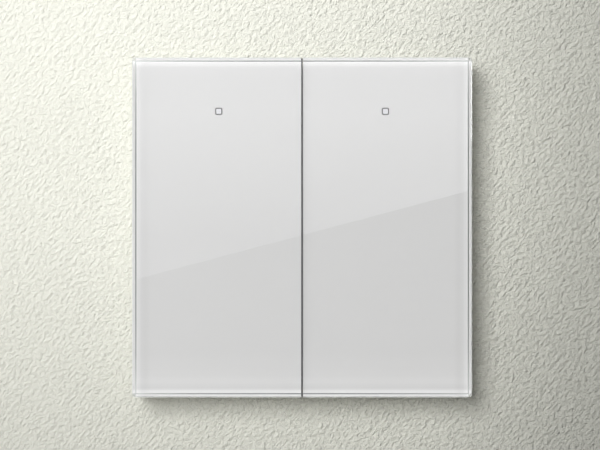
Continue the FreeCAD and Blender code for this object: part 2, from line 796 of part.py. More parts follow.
def make_ring():
    """Steel sheet ring with four fixing slots and two legs bent back into the wall box."""
    body = new_body("support_ring")
    outline = front_sketch(body, "0")
    rectangle(outline, f"(-{RING_RIGHT})", RING_RIGHT, f"(-{RING_TOP})", RING_TOP)
    sheet_metal = pad(body, outline, "Sizes.ring_thickness")
    round_edges(body, sheet_metal, runs_through, "Sizes.ring_corner")
    opening = front_sketch(body, RING_FRONT)
    block(opening, "0", "0", RING_OPENING, RING_OPENING)
    pocket(body, opening, "Sizes.ring_thickness")
    slots = front_sketch(body, RING_FRONT)
    for way in SIDES:
        place = f"({way} * {FIXING_REACH})"
        slot(slots, place, "0", "Sizes.fixing_slot_length", "Sizes.fixing_slot_width", along_x=True)
        slot(slots, "0", place, "Sizes.fixing_slot_length", "Sizes.fixing_slot_width", along_x=False)
    pocket(body, slots, "Sizes.ring_thickness")
    threads = front_sketch(body, RING_FRONT)
    for x, z in MODULE_SCREWS:
        circle(threads, x, z, "(Sizes.module_screw_radius + Sizes.screw_thread_fit)")
    pocket(body, threads, "Sizes.ring_thickness")
    leg_end = "(Sizes.leg_screw_out - Sizes.leg_end_margin)"
    legs = front_sketch(body, leg_end)
    for way in SIDES:
        middle = f"({way} * ({LEG_INSIDE} + Sizes.ring_thickness / 2))"
        block(legs, middle, "0", "Sizes.ring_thickness", "Sizes.leg_width")
    pad(body, legs, f"({RING_FRONT} - {leg_end})")
    drill_sides(body, f"({LEG_INSIDE} + Sizes.ring_thickness)", "Sizes.screw_hole_fit")
    return body


MODULE_SCREWS = both_ways("Sizes.module_screw_place", "Sizes.module_screw_place")


def drill_sides(body, reach, fit):
    """A cross hole for the bracket screws, right through from side to side."""
    hole = side_sketch(body, reach)
    circle(hole, "(-Sizes.leg_screw_out)", "0", f"(Sizes.bracket_screw_radius + {fit})")
    pocket(body, hole, f"(2 * {reach})")


def make_frame():
    """Moulded base that covers the ring, with bays for the heads of the fixing screws."""
    body = new_body("base_frame")
    outline = front_sketch(body, "0")
    rectangle(outline, f"(-{FRAME_RIGHT})", FRAME_RIGHT, f"(-{FRAME_TOP})", FRAME_TOP)
    shell = pad(body, outline, f"({FRAME_FRONT} + Sizes.frame_lip)")
    round_edges(body, shell, runs_through, "Sizes.frame_corner")
    front = front_sketch(body, f"({FRAME_FRONT} + Sizes.frame_lip)")
    rectangle(front, f"(-{FRAME_INSIDE_X})", FRAME_INSIDE_X, f"(-{FRAME_INSIDE_Z})", FRAME_INSIDE_Z)
    pocket(body, front, "Sizes.frame_lip")
    hollow = f"({FRAME_FRONT} - Sizes.frame_plate)"
    back = front_sketch(body, "0")
    rectangle(back, f"(-{FRAME_INSIDE_X})", FRAME_INSIDE_X, f"(-{FRAME_INSIDE_Z})", FRAME_INSIDE_Z)
    pocket(body, back, hollow, forwards=True)
    seats = front_sketch(body, RING_FRONT)
    rib_x = f"({RING_RIGHT} - 1.5 * Sizes.frame_rib)"
    rib_z = f"({RING_TOP} - 1.5 * Sizes.frame_rib)"
    for way in SIDES:
        block(seats, f"({way} * {rib_x})", "0", "Sizes.frame_rib", f"(2 * ({rib_z} - Sizes.frame_rib))")
        block(seats, "0", f"({way} * {rib_z})", f"(2 * ({rib_x} - Sizes.frame_rib))", "Sizes.frame_rib")
    pad(body, seats, f"({hollow} - {RING_FRONT})")
    bosses = front_sketch(body, RING_FRONT)
    for x, z in MODULE_SCREWS:
        circle(bosses, x, z, "(Sizes.module_screw_head + Sizes.frame_plate)")
    pad(body, bosses, f"({hollow} - {RING_FRONT})")
    opening = f"({RING_OPENING} + 2 * Sizes.screw_thread_fit)"
    bays = f"(2 * ({FIXING_REACH} + Sizes.bay_reach))"
    for width, height in ((opening, opening), (bays, "Sizes.bay_width"), ("Sizes.bay_width", bays)):
        hole = front_sketch(body, FRAME_FRONT)
        block(hole, "0", "0", width, height)
        pocket(body, hole, FRAME_FRONT)
    screws = front_sketch(body, FRAME_FRONT)
    for x, z in MODULE_SCREWS:
        circle(screws, x, z, "(Sizes.module_screw_radius + Sizes.screw_hole_fit)")
    pocket(body, screws, FRAME_FRONT)
    return body


def make_cover():
    """Front plate of the module, with hinge posts in front and screw bosses behind."""
    body = new_body("module_cover")
    outline = front_sketch(body, FRAME_FRONT)
    block(outline, "0", "0", "Sizes.cover_size", "Sizes.cover_size")
    plate = pad(body, outline, "Sizes.cover_thickness")
    round_edges(body, plate, runs_through, "Sizes.cover_corner")
    posts = front_sketch(body, COVER_FRONT)
    for way in SIDES:
        for place in (POST_INNER, POST_OUTER):
            block(posts, f"({way} * {place})", "0", "Sizes.post_length", "Sizes.post_depth")
    pad(body, posts, f"({POST_FRONT} - {COVER_FRONT})")
    reach = f"({POST_OUTER} + Sizes.post_length / 2)"
    bore = side_sketch(body, reach)
    circle(bore, f"(-{HINGE_OUT})", "0", "(Sizes.pin_radius + Sizes.pin_fit)")
    pocket(body, bore, f"(2 * {reach})")
    bosses = front_sketch(body, BOARD_FRONT)
    for x, z in BOSSES:
        circle(bosses, x, z, "Sizes.boss_radius")
    pad(body, bosses, f"({FRAME_FRONT} - {BOARD_FRONT})")
    pilots = front_sketch(body, BOARD_FRONT)
    for x, z in BOSSES:
        circle(pilots, x, z, "(Sizes.housing_screw_radius + Sizes.screw_thread_fit)")
    pocket(body, pilots, f"(Sizes.housing_screw_grip + Sizes.housing_screw_radius / 2)", forwards=True)
    holes = front_sketch(body, COVER_FRONT)
    for x, z in SWITCHES:
        circle(holes, x, z, "(Sizes.stem_radius + Sizes.stem_hole_fit)")
    for x, z in MODULE_SCREWS:
        circle(holes, x, z, "(Sizes.module_screw_radius + Sizes.screw_hole_fit)")
    pipe_hole = "(Sizes.pipe_width + 2 * Sizes.pipe_hole_fit)"
    for way in SIDES:
        block(holes, f"({way} * {LAMP_X})", LAMP_Z, pipe_hole, pipe_hole)
    pocket(body, holes, "Sizes.cover_thickness")
    return body


BOSSES = both_ways(BOSS_X, "Sizes.boss_z")
SWITCHES = both_ways("Sizes.switch_x", SWITCH_Z)


def make_module_screws():
    """Four screws through the cover and the base frame into the ring."""
    return screw_set(
        "module_screws",
        MODULE_SCREWS,
        COVER_FRONT,
        "Sizes.module_screw_head",
        "Sizes.module_screw_head_height",
        "Sizes.module_screw_radius",
        f"({COVER_FRONT} - Sizes.module_screw_set_back)",
    )


def make_pipe():
    """Clear light pipe from the lamp on the board to just behind the indicator window."""
    body = new_body("light_pipe_right")
    back = f"({BOARD_FRONT} + Sizes.lamp_height + Sizes.pipe_lamp_gap)"
    front = f"({COVER_FRONT} + Sizes.pipe_limb)"
    column = front_sketch(body, back)
    block(column, LAMP_X, LAMP_Z, "Sizes.pipe_width", "Sizes.pipe_width")
    pad(body, column, f"({front} - {back})")
    half = "Sizes.pipe_width / 2"
    limb = front_sketch(body, COVER_FRONT)
    polygon(
        limb,
        [
            (f"({LAMP_X} - {half})", f"({LAMP_Z} - {half})"),
            (f"({LAMP_X} + {half})", f"({LAMP_Z} - {half})"),
            (f"({INDICATOR_X} + {half})", f"({INDICATOR_Z} - {half})"),
            (f"({INDICATOR_X} + {half})", f"({INDICATOR_Z} + {half})"),
            (f"({INDICATOR_X} - {half})", f"({INDICATOR_Z} + {half})"),
            (f"({LAMP_X} - {half})", f"({LAMP_Z} + {half})"),
        ],
    )
    straight = pad(body, limb, "Sizes.pipe_limb")

    def turning_edge(start, stop):
        level, height = (value(part) for part in (f"-{front}", f"{LAMP_Z} - {half}"))
        low = near(start.y, level) and near(start.z, height) and near(stop.z, height)
        level, height = (value(part) for part in (f"-{COVER_FRONT}", f"{INDICATOR_Z} + {half}"))
        high = near(start.y, level) and near(start.z, height) and near(stop.z, height)
        return (low or high) and near(start.y, stop.y)

    chamfer_edges(body, straight, turning_edge, "Sizes.pipe_facet")
    return body


# In the recess: housing, control board and push switches


def make_housing():
    """Tub behind the cover, with standoffs for the board and a window for the link."""
    body = new_body("module_housing")
    outline = front_sketch(body, TUB_BACK)
    block(outline, "0", "0", "Sizes.tub_size", "Sizes.tub_size")
    solid = pad(body, outline, f"({FRAME_FRONT} - {TUB_BACK})")
    round_edges(body, solid, runs_through, "Sizes.tub_corner")
    inside = front_sketch(body, FRAME_FRONT)
    block(inside, "0", "0", TUB_INSIDE, TUB_INSIDE)
    pocket(body, inside, f"({FRAME_FRONT} - {TUB_FLOOR})")
    standoffs = front_sketch(body, TUB_FLOOR)
    for x, z in BOSSES:
        circle(standoffs, x, z, "Sizes.boss_radius")
    pad(body, standoffs, "Sizes.standoff_height")
    seats = front_sketch(body, TUB_BACK)
    for x, z in BOSSES:
        circle(seats, x, z, "(Sizes.housing_screw_head + Sizes.screw_hole_fit)")
    pocket(body, seats, HOUSING_SCREW_SEAT, forwards=True)
    holes = front_sketch(body, BOARD_BACK)
    for x, z in BOSSES:
        circle(holes, x, z, "(Sizes.housing_screw_radius + Sizes.screw_hole_fit)")
    pocket(body, holes, f"({BOARD_BACK} - {TUB_BACK})")
    window = front_sketch(body, TUB_FLOOR)
    fit = "2 * Sizes.link_window_fit"
    block(window, "0", "Sizes.link_z", f"(Sizes.link_width + {fit})", f"(Sizes.link_depth + {fit})")
    pocket(body, window, "Sizes.tub_wall")
    return body


# Depth of the seats for the housing screws' heads, a little deeper than the heads
HOUSING_SCREW_SEAT = "(Sizes.housing_screw_head_height + Sizes.screw_hole_fit)"


def make_housing_screws():
    """Four screws from behind the housing through the board into the cover's bosses."""
    bearing = f"({TUB_BACK} + {HOUSING_SCREW_SEAT})"
    return screw_set(
        "housing_screws",
        BOSSES,
        bearing,
        "Sizes.housing_screw_head",
        "Sizes.housing_screw_head_height",
        "Sizes.housing_screw_radius",
        f"({BOARD_FRONT} + Sizes.housing_screw_grip - {bearing})",
        way=-1,
    )


def make_control_board():
    """Circuit board with the four push switches, the lamps and the controller."""
    body = new_body("control_board")
    outline = front_sketch(body, BOARD_BACK)
    size = f"({TUB_INSIDE} - 2 * Sizes.board_clearance)"
    block(outline, "0", "0", size, size)
    plate = pad(body, outline, "Sizes.board_thickness")
    round_edges(body, plate, runs_through, "Sizes.tub_wall")
    holes = front_sketch(body, BOARD_FRONT)
    for x, z in BOSSES:
        circle(holes, x, z, "(Sizes.housing_screw_radius + Sizes.screw_hole_fit)")
    pocket(body, holes, "Sizes.board_thickness")
    return body


def make_board_parts():
    """The controller chip, a row of small components and the two lamps."""
    front = f"({BOARD_FRONT} + Sizes.chip_height)"
    chip = component(
        "chip", "0", "Sizes.chip_z", "Sizes.chip_size", "Sizes.chip_size", BOARD_FRONT, front
    )
    node(chip, "controller_chip")
    small_parts = []
    for row in (-1, 1):
        for column in (-2, -1, 0, 1, 2):
            small_parts.append(
                component(
                    "small_part",
                    f"({column} * Sizes.component_pitch)",
                    f"(Sizes.component_pitch * {row} / 2 - Sizes.component_pitch)",
                    "Sizes.component_width",
                    "Sizes.component_length",
                    BOARD_FRONT,
                    f"({BOARD_FRONT} + Sizes.component_height)",
                )
            )
    group("board_components", small_parts)
    lamps = []
    for way in SIDES:
        lamps.append(
            component(
                "lamp",
                f"({way} * {LAMP_X})",
                LAMP_Z,
                "Sizes.lamp_width",
                "Sizes.lamp_depth",
                BOARD_FRONT,
                f"({BOARD_FRONT} + Sizes.lamp_height)",
            )
        )
    group("indicator_lamps", lamps)


# Levels inside a push switch
SWITCH_FRONT = f"({BOARD_FRONT} + Sizes.switch_height)"
CHAMBER_TOP = f"({SWITCH_FRONT} - Sizes.switch_top)"
CHAMBER_FLOOR = f"({BOARD_FRONT} + Sizes.switch_base)"
COLLAR_TOP = f"({CHAMBER_TOP} - Sizes.collar_top_gap)"
COLLAR_BOTTOM = f"({COLLAR_TOP} - Sizes.collar_thickness)"
STEM_TIP = f"({PAD_BACK} - Sizes.stem_gap)"


def make_switch_cases():
    """Square cases of the four push switches, each with a bore for its stem."""
    body = new_body("switch_cases")
    outline = front_sketch(body, BOARD_FRONT)
    for x, z in SWITCHES:
        block(outline, x, z, "Sizes.switch_size", "Sizes.switch_size")
    pad(body, outline, "Sizes.switch_height")
    chamber = front_sketch(body, BOARD_FRONT)
    for x, z in SWITCHES:
        circle(chamber, x, z, "Sizes.switch_bore")
    pocket(body, chamber, f"({CHAMBER_TOP} - {BOARD_FRONT})", forwards=True)
    bore = front_sketch(body, SWITCH_FRONT)
    for x, z in SWITCHES:
        circle(bore, x, z, "(Sizes.stem_radius + Sizes.stem_running_gap)")
    pocket(body, bore, "Sizes.switch_top")
    return body


def make_switch_bases():
    """Round bases that close the switch cases at the board."""
    body = new_body("switch_bases")
    outline = front_sketch(body, BOARD_FRONT)
    for x, z in SWITCHES:
        circle(outline, x, z, "(Sizes.switch_bore - Sizes.screw_thread_fit)")
    pad(body, outline, "Sizes.switch_base")
    return body


def make_switch_contacts():
    """Two fixed contacts in each switch, which the pressed stem bridges."""
    body = new_body("switch_contacts")
    outline = front_sketch(body, CHAMBER_FLOOR)
    for x, z in SWITCHES:
        for way in SIDES:
            place = f"({x} + {way} * Sizes.contact_place)"
            block(outline, place, z, "Sizes.contact_width", "Sizes.contact_depth")
    pad(body, outline, "Sizes.contact_height")
    return body


def make_stem(label, x, z):
    """Moving stem of a push switch: a collar inside the case and a domed shaft in front."""
    body = new_body(label)
    collar = front_sketch(body, COLLAR_BOTTOM)
    circle(collar, x, z, "Sizes.collar_radius")
    pad(body, collar, "Sizes.collar_thickness")
    nose = front_sketch(body, f"({COLLAR_BOTTOM} - Sizes.nose_length)")
    circle(nose, x, z, "Sizes.nose_radius")
    pad(body, nose, "Sizes.nose_length")
    shaft = front_sketch(body, COLLAR_TOP)
    circle(shaft, x, z, "Sizes.stem_radius")
    shaft_pad = pad(body, shaft, f"({STEM_TIP} - {COLLAR_TOP})")
    tip = value(f"-{STEM_TIP}")
    rings = [
        f"Edge{number}"
        for number, edge in enumerate(shaft_pad.Shape.Edges, start=1)
        if all(near(vertex.Y, tip) for vertex in edge.Vertexes)
    ]
    dome = body.newObject("PartDesign::Fillet", "dome")
    dome.Base = (shaft_pad, rings)
    dome.setExpression("Radius", "Sizes.stem_dome")
    doc.recompute()
    return body


def make_spring(label, x, z):
    """Coil spring between the switch base and the stem's collar."""
    helix = doc.addObject("Part::Helix", "helix")
    height = f"({COLLAR_BOTTOM} - {CHAMBER_FLOOR} - 2 * Sizes.spring_wire)"
    helix.setExpression("Radius", "Sizes.spring_radius")
    helix.setExpression("Height", height)
    helix.setExpression("Pitch", f"{height} / Sizes.spring_turns")
    # Faces of a quarter turn each, which follow the coil closely
    helix.SegmentLength = 0.25
    wire = doc.addObject("Part::Circle", "wire_section")
    wire.setExpression("Radius", "Sizes.spring_wire")
    wire.Placement = FreeCAD.Placement(Vector(0, 0, 0), FreeCAD.Rotation(Vector(1, 0, 0), 90))
    wire.setExpression("Placement.Base.x", "Sizes.spring_radius")
    spring = doc.addObject("Part::Sweep", "spring")
    spring.Sections = [wire]
    spring.Spine = (helix, [])
    spring.Solid = True
    spring.Frenet = True
    spring.Placement = FreeCAD.Placement(Vector(0, 0, 0), FreeCAD.Rotation(Vector(1, 0, 0), 90))
    spring.setExpression("Placement.Base.x", x)
    spring.setExpression("Placement.Base.y", f"-({CHAMBER_FLOOR} + Sizes.spring_wire)")
    spring.setExpression("Placement.Base.z", z)
    return node(spring, label)


def make_stems_and_springs():
    """A stem and its spring for each end of each key."""
    for side, side_name in zip(SIDES, ("left", "right")):
        for height, height_name in zip(SIDES, ("lower", "upper")):
            x = f"({side} * Sizes.switch_x)"
            z = f"({height} * {SWITCH_Z})"
            make_stem(f"switch_stem_{height_name}_{side_name}", x, z)
            make_spring(f"return_spring_{height_name}_{side_name}", x, z)


# The plug-in link: socket, header and pins


def link_places():
    """The middles of the ten contacts, in two rows of five."""
    places = []
    for row in (-0.5, 0.5):
        for column in (-2, -1, 0, 1, 2):
            places.append(
                (f"({column} * Sizes.link_pitch)", f"(Sizes.link_z + {row} * Sizes.link_pitch)")
            )
    return places


def link_block(label, back, front, depth, hole, hole_depth):
    """A moulded block with ten square holes, cut from its back."""
    body = new_body(label)
    outline = front_sketch(body, back)
    block(outline, "0", "Sizes.link_z", "Sizes.link_width", depth)
    pad(body, outline, f"({front} - {back})")
    holes = front_sketch(body, back)
    for x, z in link_places():
        block(holes, x, z, hole, hole)
    pocket(body, holes, hole_depth, forwards=True)
    return body


def make_link():
    """Socket on the control board, header on the power board, and the ten pins between them."""
    socket_hole = "(Sizes.link_pin + 2 * Sizes.link_hole_fit)"
    link_block(
        "link_socket", TUB_BACK, BOARD_BACK, "Sizes.link_depth", socket_hole, "Sizes.link_hole_depth"
    )
    header_front = f"({POWER_FRONT} + Sizes.header_height)"
    header_hole = "(Sizes.link_pin + 2 * Sizes.header_fit)"
    link_block(
        "link_header",
        POWER_FRONT,
        header_front,
        "(2 * Sizes.link_pitch)",
        header_hole,
        "Sizes.header_height",
    )
    pins = new_body("link_pins")
    outline = front_sketch(pins, POWER_FRONT)
    for x, z in link_places():
        block(outline, x, z, "Sizes.link_pin", "Sizes.link_pin")
    pad(pins, outline, f"({TUB_BACK} + Sizes.link_pin_entry - {POWER_FRONT})")


# In the wall box: the power part

UPPER_POST = f"({INSERT_INSIDE} - Sizes.insert_post_inset)"
LOWER_POST_X = f"({INSERT_INSIDE} - Sizes.low_post_side_gap - Sizes.insert_post_radius)"
LOWER_POST_Z = f"({TERMINAL_TOP} + Sizes.low_post_gap + Sizes.insert_post_radius)"
INSERT_SCREWS = [
    (f"({side} * {x})", z)
    for x, z in ((UPPER_POST, UPPER_POST), (LOWER_POST_X, LOWER_POST_Z))
    for side in SIDES
]
TERMINALS = [
    f"({number} * Sizes.terminal_pitch - (Sizes.terminal_count - 1) / 2 * Sizes.terminal_pitch)"
    for number in range(int(SIZES["terminal_count"]))
]


def inner_octagon(drawing, inset):
    """The insert's outline, moved inwards by an even distance."""
    octagon(drawing, f"({INSERT_SIDE} - {inset})", f"({INSERT_CHAMFER} - {inset} * {CHAMFER_SHARE})")


def make_rear_housing():
    """Shell of the power part, open in front, with posts and holes for wires and drivers."""
    body = new_body("rear_housing")
    outline = front_sketch(body, INSERT_BACK)
    octagon(outline, INSERT_SIDE, INSERT_CHAMFER)
    pad(body, outline, f"({INSERT_RIM} - {INSERT_BACK})")
    inside = front_sketch(body, INSERT_RIM)
    inner_octagon(inside, "Sizes.insert_wall")
    pocket(body, inside, f"({INSERT_RIM} - {INSERT_FLOOR})")
    posts = front_sketch(body, INSERT_FLOOR)
    for x, z in INSERT_SCREWS:
        circle(posts, x, z, "Sizes.insert_post_radius")
    pad(body, posts, f"({POWER_BACK} - {INSERT_FLOOR})")
    pilots = front_sketch(body, POWER_BACK)
    for x, z in INSERT_SCREWS:
        circle(pilots, x, z, "(Sizes.insert_screw_radius + Sizes.screw_thread_fit)")
    pocket(body, pilots, "Sizes.insert_screw_length")
    wires = front_sketch(body, INSERT_FLOOR)
    for x in TERMINALS:
        circle(wires, x, CLAMP_MIDDLE, "Sizes.wire_funnel_radius")
    pocket(body, wires, "Sizes.insert_wall")
    drivers = sketch(body, "XY_Plane", f"(-{INSERT_SIDE})")
    for x in TERMINALS:
        circle(drivers, x, DRIVER_PLACE, "Sizes.terminal_driver_radius")
    pocket(body, drivers, "Sizes.insert_wall", forwards=True)
    drill_sides(body, INSERT_SIDE, "Sizes.screw_thread_fit")
    return body


# Along Y, the middle of the clamps and of the screws that close them
DRIVER_PLACE = f"(-({CLAMP_BACK} + {CLAMP_FRONT}) / 2)"


def make_insert_cover():
    """Front cover of the power part, with bosses behind and a window for the link."""
    body = new_body("insert_cover")
    outline = front_sketch(body, INSERT_RIM)
    octagon(outline, INSERT_SIDE, INSERT_CHAMFER)
    pad(body, outline, "Sizes.insert_cover")
    bosses = front_sketch(body, POWER_FRONT)
    for x, z in INSERT_SCREWS:
        circle(bosses, x, z, "Sizes.insert_post_radius")
    pad(body, bosses, "Sizes.insert_cover_boss")
    seats = front_sketch(body, INSERT_FRONT)
    for x, z in INSERT_SCREWS:
        circle(seats, x, z, "(Sizes.insert_screw_head + Sizes.screw_hole_fit)")
    pocket(body, seats, "Sizes.insert_cover")
    holes = front_sketch(body, INSERT_RIM)
    for x, z in INSERT_SCREWS:
        circle(holes, x, z, "(Sizes.insert_screw_radius + Sizes.screw_hole_fit)")
    pocket(body, holes, "Sizes.insert_cover_boss")
    window = front_sketch(body, INSERT_FRONT)
    fit = "2 * Sizes.link_window_fit"
    block(window, "0", "Sizes.link_z", f"(Sizes.link_width + {fit})", f"(Sizes.link_depth + {fit})")
    pocket(body, window, "Sizes.insert_cover")
    return body


def make_insert_screws():
    """Four screws that hold the insert's cover and power board to the rear housing."""
    return screw_set(
        "insert_screws",
        INSERT_SCREWS,
        INSERT_RIM,
        "Sizes.insert_screw_head",
        "(Sizes.insert_cover - Sizes.screw_hole_fit)",
        "Sizes.insert_screw_radius",
        "Sizes.insert_screw_length",
    )


def make_bracket_screws():
    """Two screws that hold the ring's legs to the sides of the rear housing."""
    body = new_body("bracket_screws")
    leg_face = f"({LEG_INSIDE} + Sizes.ring_thickness)"
    tip = f"({INSERT_INSIDE} - Sizes.bracket_screw_tip)"
    for way, start in ((1, leg_face), (-1, f"(-{leg_face} - Sizes.bracket_screw_head_height)")):
        head = side_sketch(body, start)
        circle(head, "(-Sizes.leg_screw_out)", "0", "Sizes.bracket_screw_head")
        pad(body, head, "Sizes.bracket_screw_head_height")
    for start in (tip, f"(-{leg_face})"):
        shank = side_sketch(body, start)
        circle(shank, "(-Sizes.leg_screw_out)", "0", "Sizes.bracket_screw_radius")
        pad(body, shank, f"({leg_face} - {tip})")
    outside = f"({leg_face} + Sizes.bracket_screw_head_height)"
    for forwards, start in ((False, outside), (True, f"(-{outside})")):
        recess = side_sketch(body, start)
        length = "(2 * Sizes.slot_share * Sizes.bracket_screw_head)"
        block(recess, "(-Sizes.leg_screw_out)", "0", length, "Sizes.screw_recess_width")
        pocket(body, recess, "Sizes.screw_recess", forwards=forwards)
    return body


def make_power_board():
    """Circuit board of the power part, clamped between the cover's bosses and the posts."""
    body = new_body("power_board")
    outline = front_sketch(body, POWER_BACK)
    inner_octagon(outline, "(Sizes.insert_wall + Sizes.power_board_clearance)")
    pad(body, outline, "Sizes.power_board_thickness")
    holes = front_sketch(body, POWER_FRONT)
    for x, z in INSERT_SCREWS:
        circle(holes, x, z, "(Sizes.insert_screw_radius + Sizes.screw_hole_fit)")
    pocket(body, holes, "Sizes.power_board_thickness")
    return body


def make_power_parts():
    """Two relays, a transformer, a capacitor and a surge protector behind the power board."""
    relays = new_body("relays")
    outline = front_sketch(relays, f"({POWER_BACK} - Sizes.relay_depth)")
    for way in SIDES:
        middle = f"({way} * (Sizes.relay_gap + Sizes.relay_width / 2))"
        block(outline, middle, "Sizes.relay_z", "Sizes.relay_width", "Sizes.relay_length")
    cases = pad(relays, outline, "Sizes.relay_depth")
    round_edges(relays, cases, runs_through, "Sizes.relay_corner")

    relay_low = "(Sizes.relay_z - Sizes.relay_length / 2)"
    transformer = component(
        "transformer_block",
        "0",
        f"({relay_low} - Sizes.relay_gap - Sizes.transformer_length / 2)",
        "Sizes.transformer_width",
        "Sizes.transformer_length",
        f"({POWER_BACK} - Sizes.transformer_depth)",
        POWER_BACK,
    )
    node(transformer, "transformer")

    capacitor = new_body("capacitor")
    can = front_sketch(capacitor, f"({POWER_BACK} - Sizes.capacitor_depth)")
    can_x = f"({INSERT_INSIDE} - Sizes.side_part_gap - Sizes.capacitor_radius)"
    circle(can, can_x, "Sizes.capacitor_z", "Sizes.capacitor_radius")
    pad(capacitor, can, "Sizes.capacitor_depth")

    surge = new_body("surge_protector")
    disc = side_sketch(surge, f"(-({INSERT_INSIDE} - Sizes.side_part_gap))")
    circle(disc, f"(-({POWER_BACK} - Sizes.surge_disc_radius))", "Sizes.surge_disc_z", "Sizes.surge_disc_radius")
    pad(surge, disc, "Sizes.surge_disc_thickness")


def make_terminals():
    """Terminal block with wire entries behind, clamps inside and screws below."""
    body = new_body("terminal_block")
    front = f"({INSERT_FLOOR} + Sizes.terminal_depth)"
    outline = front_sketch(body, INSERT_FLOOR)
    rectangle(outline, f"(-{TERMINAL_HALF})", TERMINAL_HALF, TERMINAL_LOW, TERMINAL_TOP)
    pad(body, outline, "Sizes.terminal_depth")
    cavities = front_sketch(body, front)
    fit = "2 * Sizes.clamp_fit"
    for x in TERMINALS:
        block(cavities, x, CLAMP_MIDDLE, f"(Sizes.clamp_width + {fit})", f"(Sizes.clamp_height + {fit})")
    pocket(body, cavities, f"({front} - {CLAMP_BACK})")
    entries = front_sketch(body, INSERT_FLOOR)
    for x in TERMINALS:
        circle(entries, x, CLAMP_MIDDLE, "Sizes.wire_entry_radius")
    pocket(body, entries, f"({CLAMP_BACK} - {INSERT_FLOOR})", forwards=True)
    drivers = sketch(body, "XY_Plane", TERMINAL_LOW)
    for x in TERMINALS:
        circle(drivers, x, DRIVER_PLACE, "Sizes.terminal_driver_radius")
    pocket(body, drivers, "(Sizes.clamp_rise - Sizes.clamp_fit)", forwards=True)

    clamps = new_body("terminal_clamps")
    cages = front_sketch(clamps, CLAMP_BACK)
    for x in TERMINALS:
        block(cages, x, CLAMP_MIDDLE, "Sizes.clamp_width", "Sizes.clamp_height")
    pad(clamps, cages, "Sizes.clamp_depth")
    tabs = front_sketch(clamps, CLAMP_FRONT)
    tab_z = f"({CLAMP_MIDDLE} + Sizes.clamp_height / 2 - Sizes.clamp_tab / 2)"
    for x in TERMINALS:
        block(tabs, x, tab_z, "Sizes.clamp_tab_width", "Sizes.clamp_tab")
    pad(clamps, tabs, f"({POWER_BACK} - {CLAMP_FRONT})")
    wire_holes = front_sketch(clamps, CLAMP_BACK)
    for x in TERMINALS:
        circle(wire_holes, x, CLAMP_MIDDLE, "Sizes.wire_radius")
    pocket(clamps, wire_holes, "(Sizes.clamp_depth - Sizes.clamp_tab)", forwards=True)
    threads = sketch(clamps, "XY_Plane", CLAMP_LOW)
    for x in TERMINALS:
        circle(threads, x, DRIVER_PLACE, "(Sizes.terminal_screw_radius + Sizes.screw_thread_fit)")
    pocket(clamps, threads, "(Sizes.clamp_height / 2)", forwards=True)

    screws = new_body("terminal_screws")
    heads = sketch(screws, "XY_Plane", f"({CLAMP_LOW} - Sizes.terminal_screw_head_height)")
    for x in TERMINALS:
        circle(heads, x, DRIVER_PLACE, "Sizes.terminal_screw_head")
    pad(screws, heads, "Sizes.terminal_screw_head_height")
    shanks = sketch(screws, "XY_Plane", CLAMP_LOW)
    for x in TERMINALS:
        circle(shanks, x, DRIVER_PLACE, "Sizes.terminal_screw_radius")
    pad(screws, shanks, "(Sizes.clamp_height / 2 - Sizes.wire_radius)")
    recess = sketch(screws, "XY_Plane", f"({CLAMP_LOW} - Sizes.terminal_screw_head_height)")
    for x in TERMINALS:
        length = "(2 * Sizes.slot_share * Sizes.terminal_screw_head)"
        block(recess, x, DRIVER_PLACE, length, "Sizes.screw_recess_width")
    pocket(screws, recess, "Sizes.screw_recess", forwards=True)


CLAMP_LOW = f"({CLAMP_MIDDLE} - Sizes.clamp_height / 2)"


def build():
    """Makes every sub-part, from the glass back to the terminals."""
    for maker in (make_glass, make_film, make_seal, make_window, make_carrier, make_pin, make_pipe):
        right = maker()
        left_copy(right, right.Label.replace("_right", "_left"))
    make_ring()
    make_frame()
    make_cover()
    make_module_screws()
    make_housing()
    make_housing_screws()
    make_control_board()
    make_board_parts()
    make_switch_cases()
    make_switch_bases()
    make_switch_contacts()
    make_stems_and_springs()
    make_link()
    make_insert_cover()
    make_rear_housing()
    make_insert_screws()
    make_bracket_screws()
    make_power_board()
    make_power_parts()
    make_terminals()
    doc.recompute()


def check():
    """Stops if any object of the document failed or any sub-part has a bad shape."""
    for thing in doc.Objects:
        if "Invalid" in thing.State or "Error" in thing.State:
            raise RuntimeError(f"{thing.Label} failed: {thing.State}")
    for thing in nodes:
        if thing.Shape.isNull() or not thing.Shape.isValid():
            raise RuntimeError(f"{thing.Label} has a bad shape")


def export():
    """Writes one STEP file for each sub-part."""
    os.makedirs("parts", exist_ok=True)
    for thing in nodes:
        thing.Shape.exportStep(f"parts/{thing.Label}.step")
        box = thing.Shape.BoundBox
        print(f"{thing.Label}: {len(thing.Shape.Solids)} solids, {box.XLength:.2f} x {box.YLength:.2f} x {box.ZLength:.2f}")


build()
check()
export()
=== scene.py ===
import json
import math

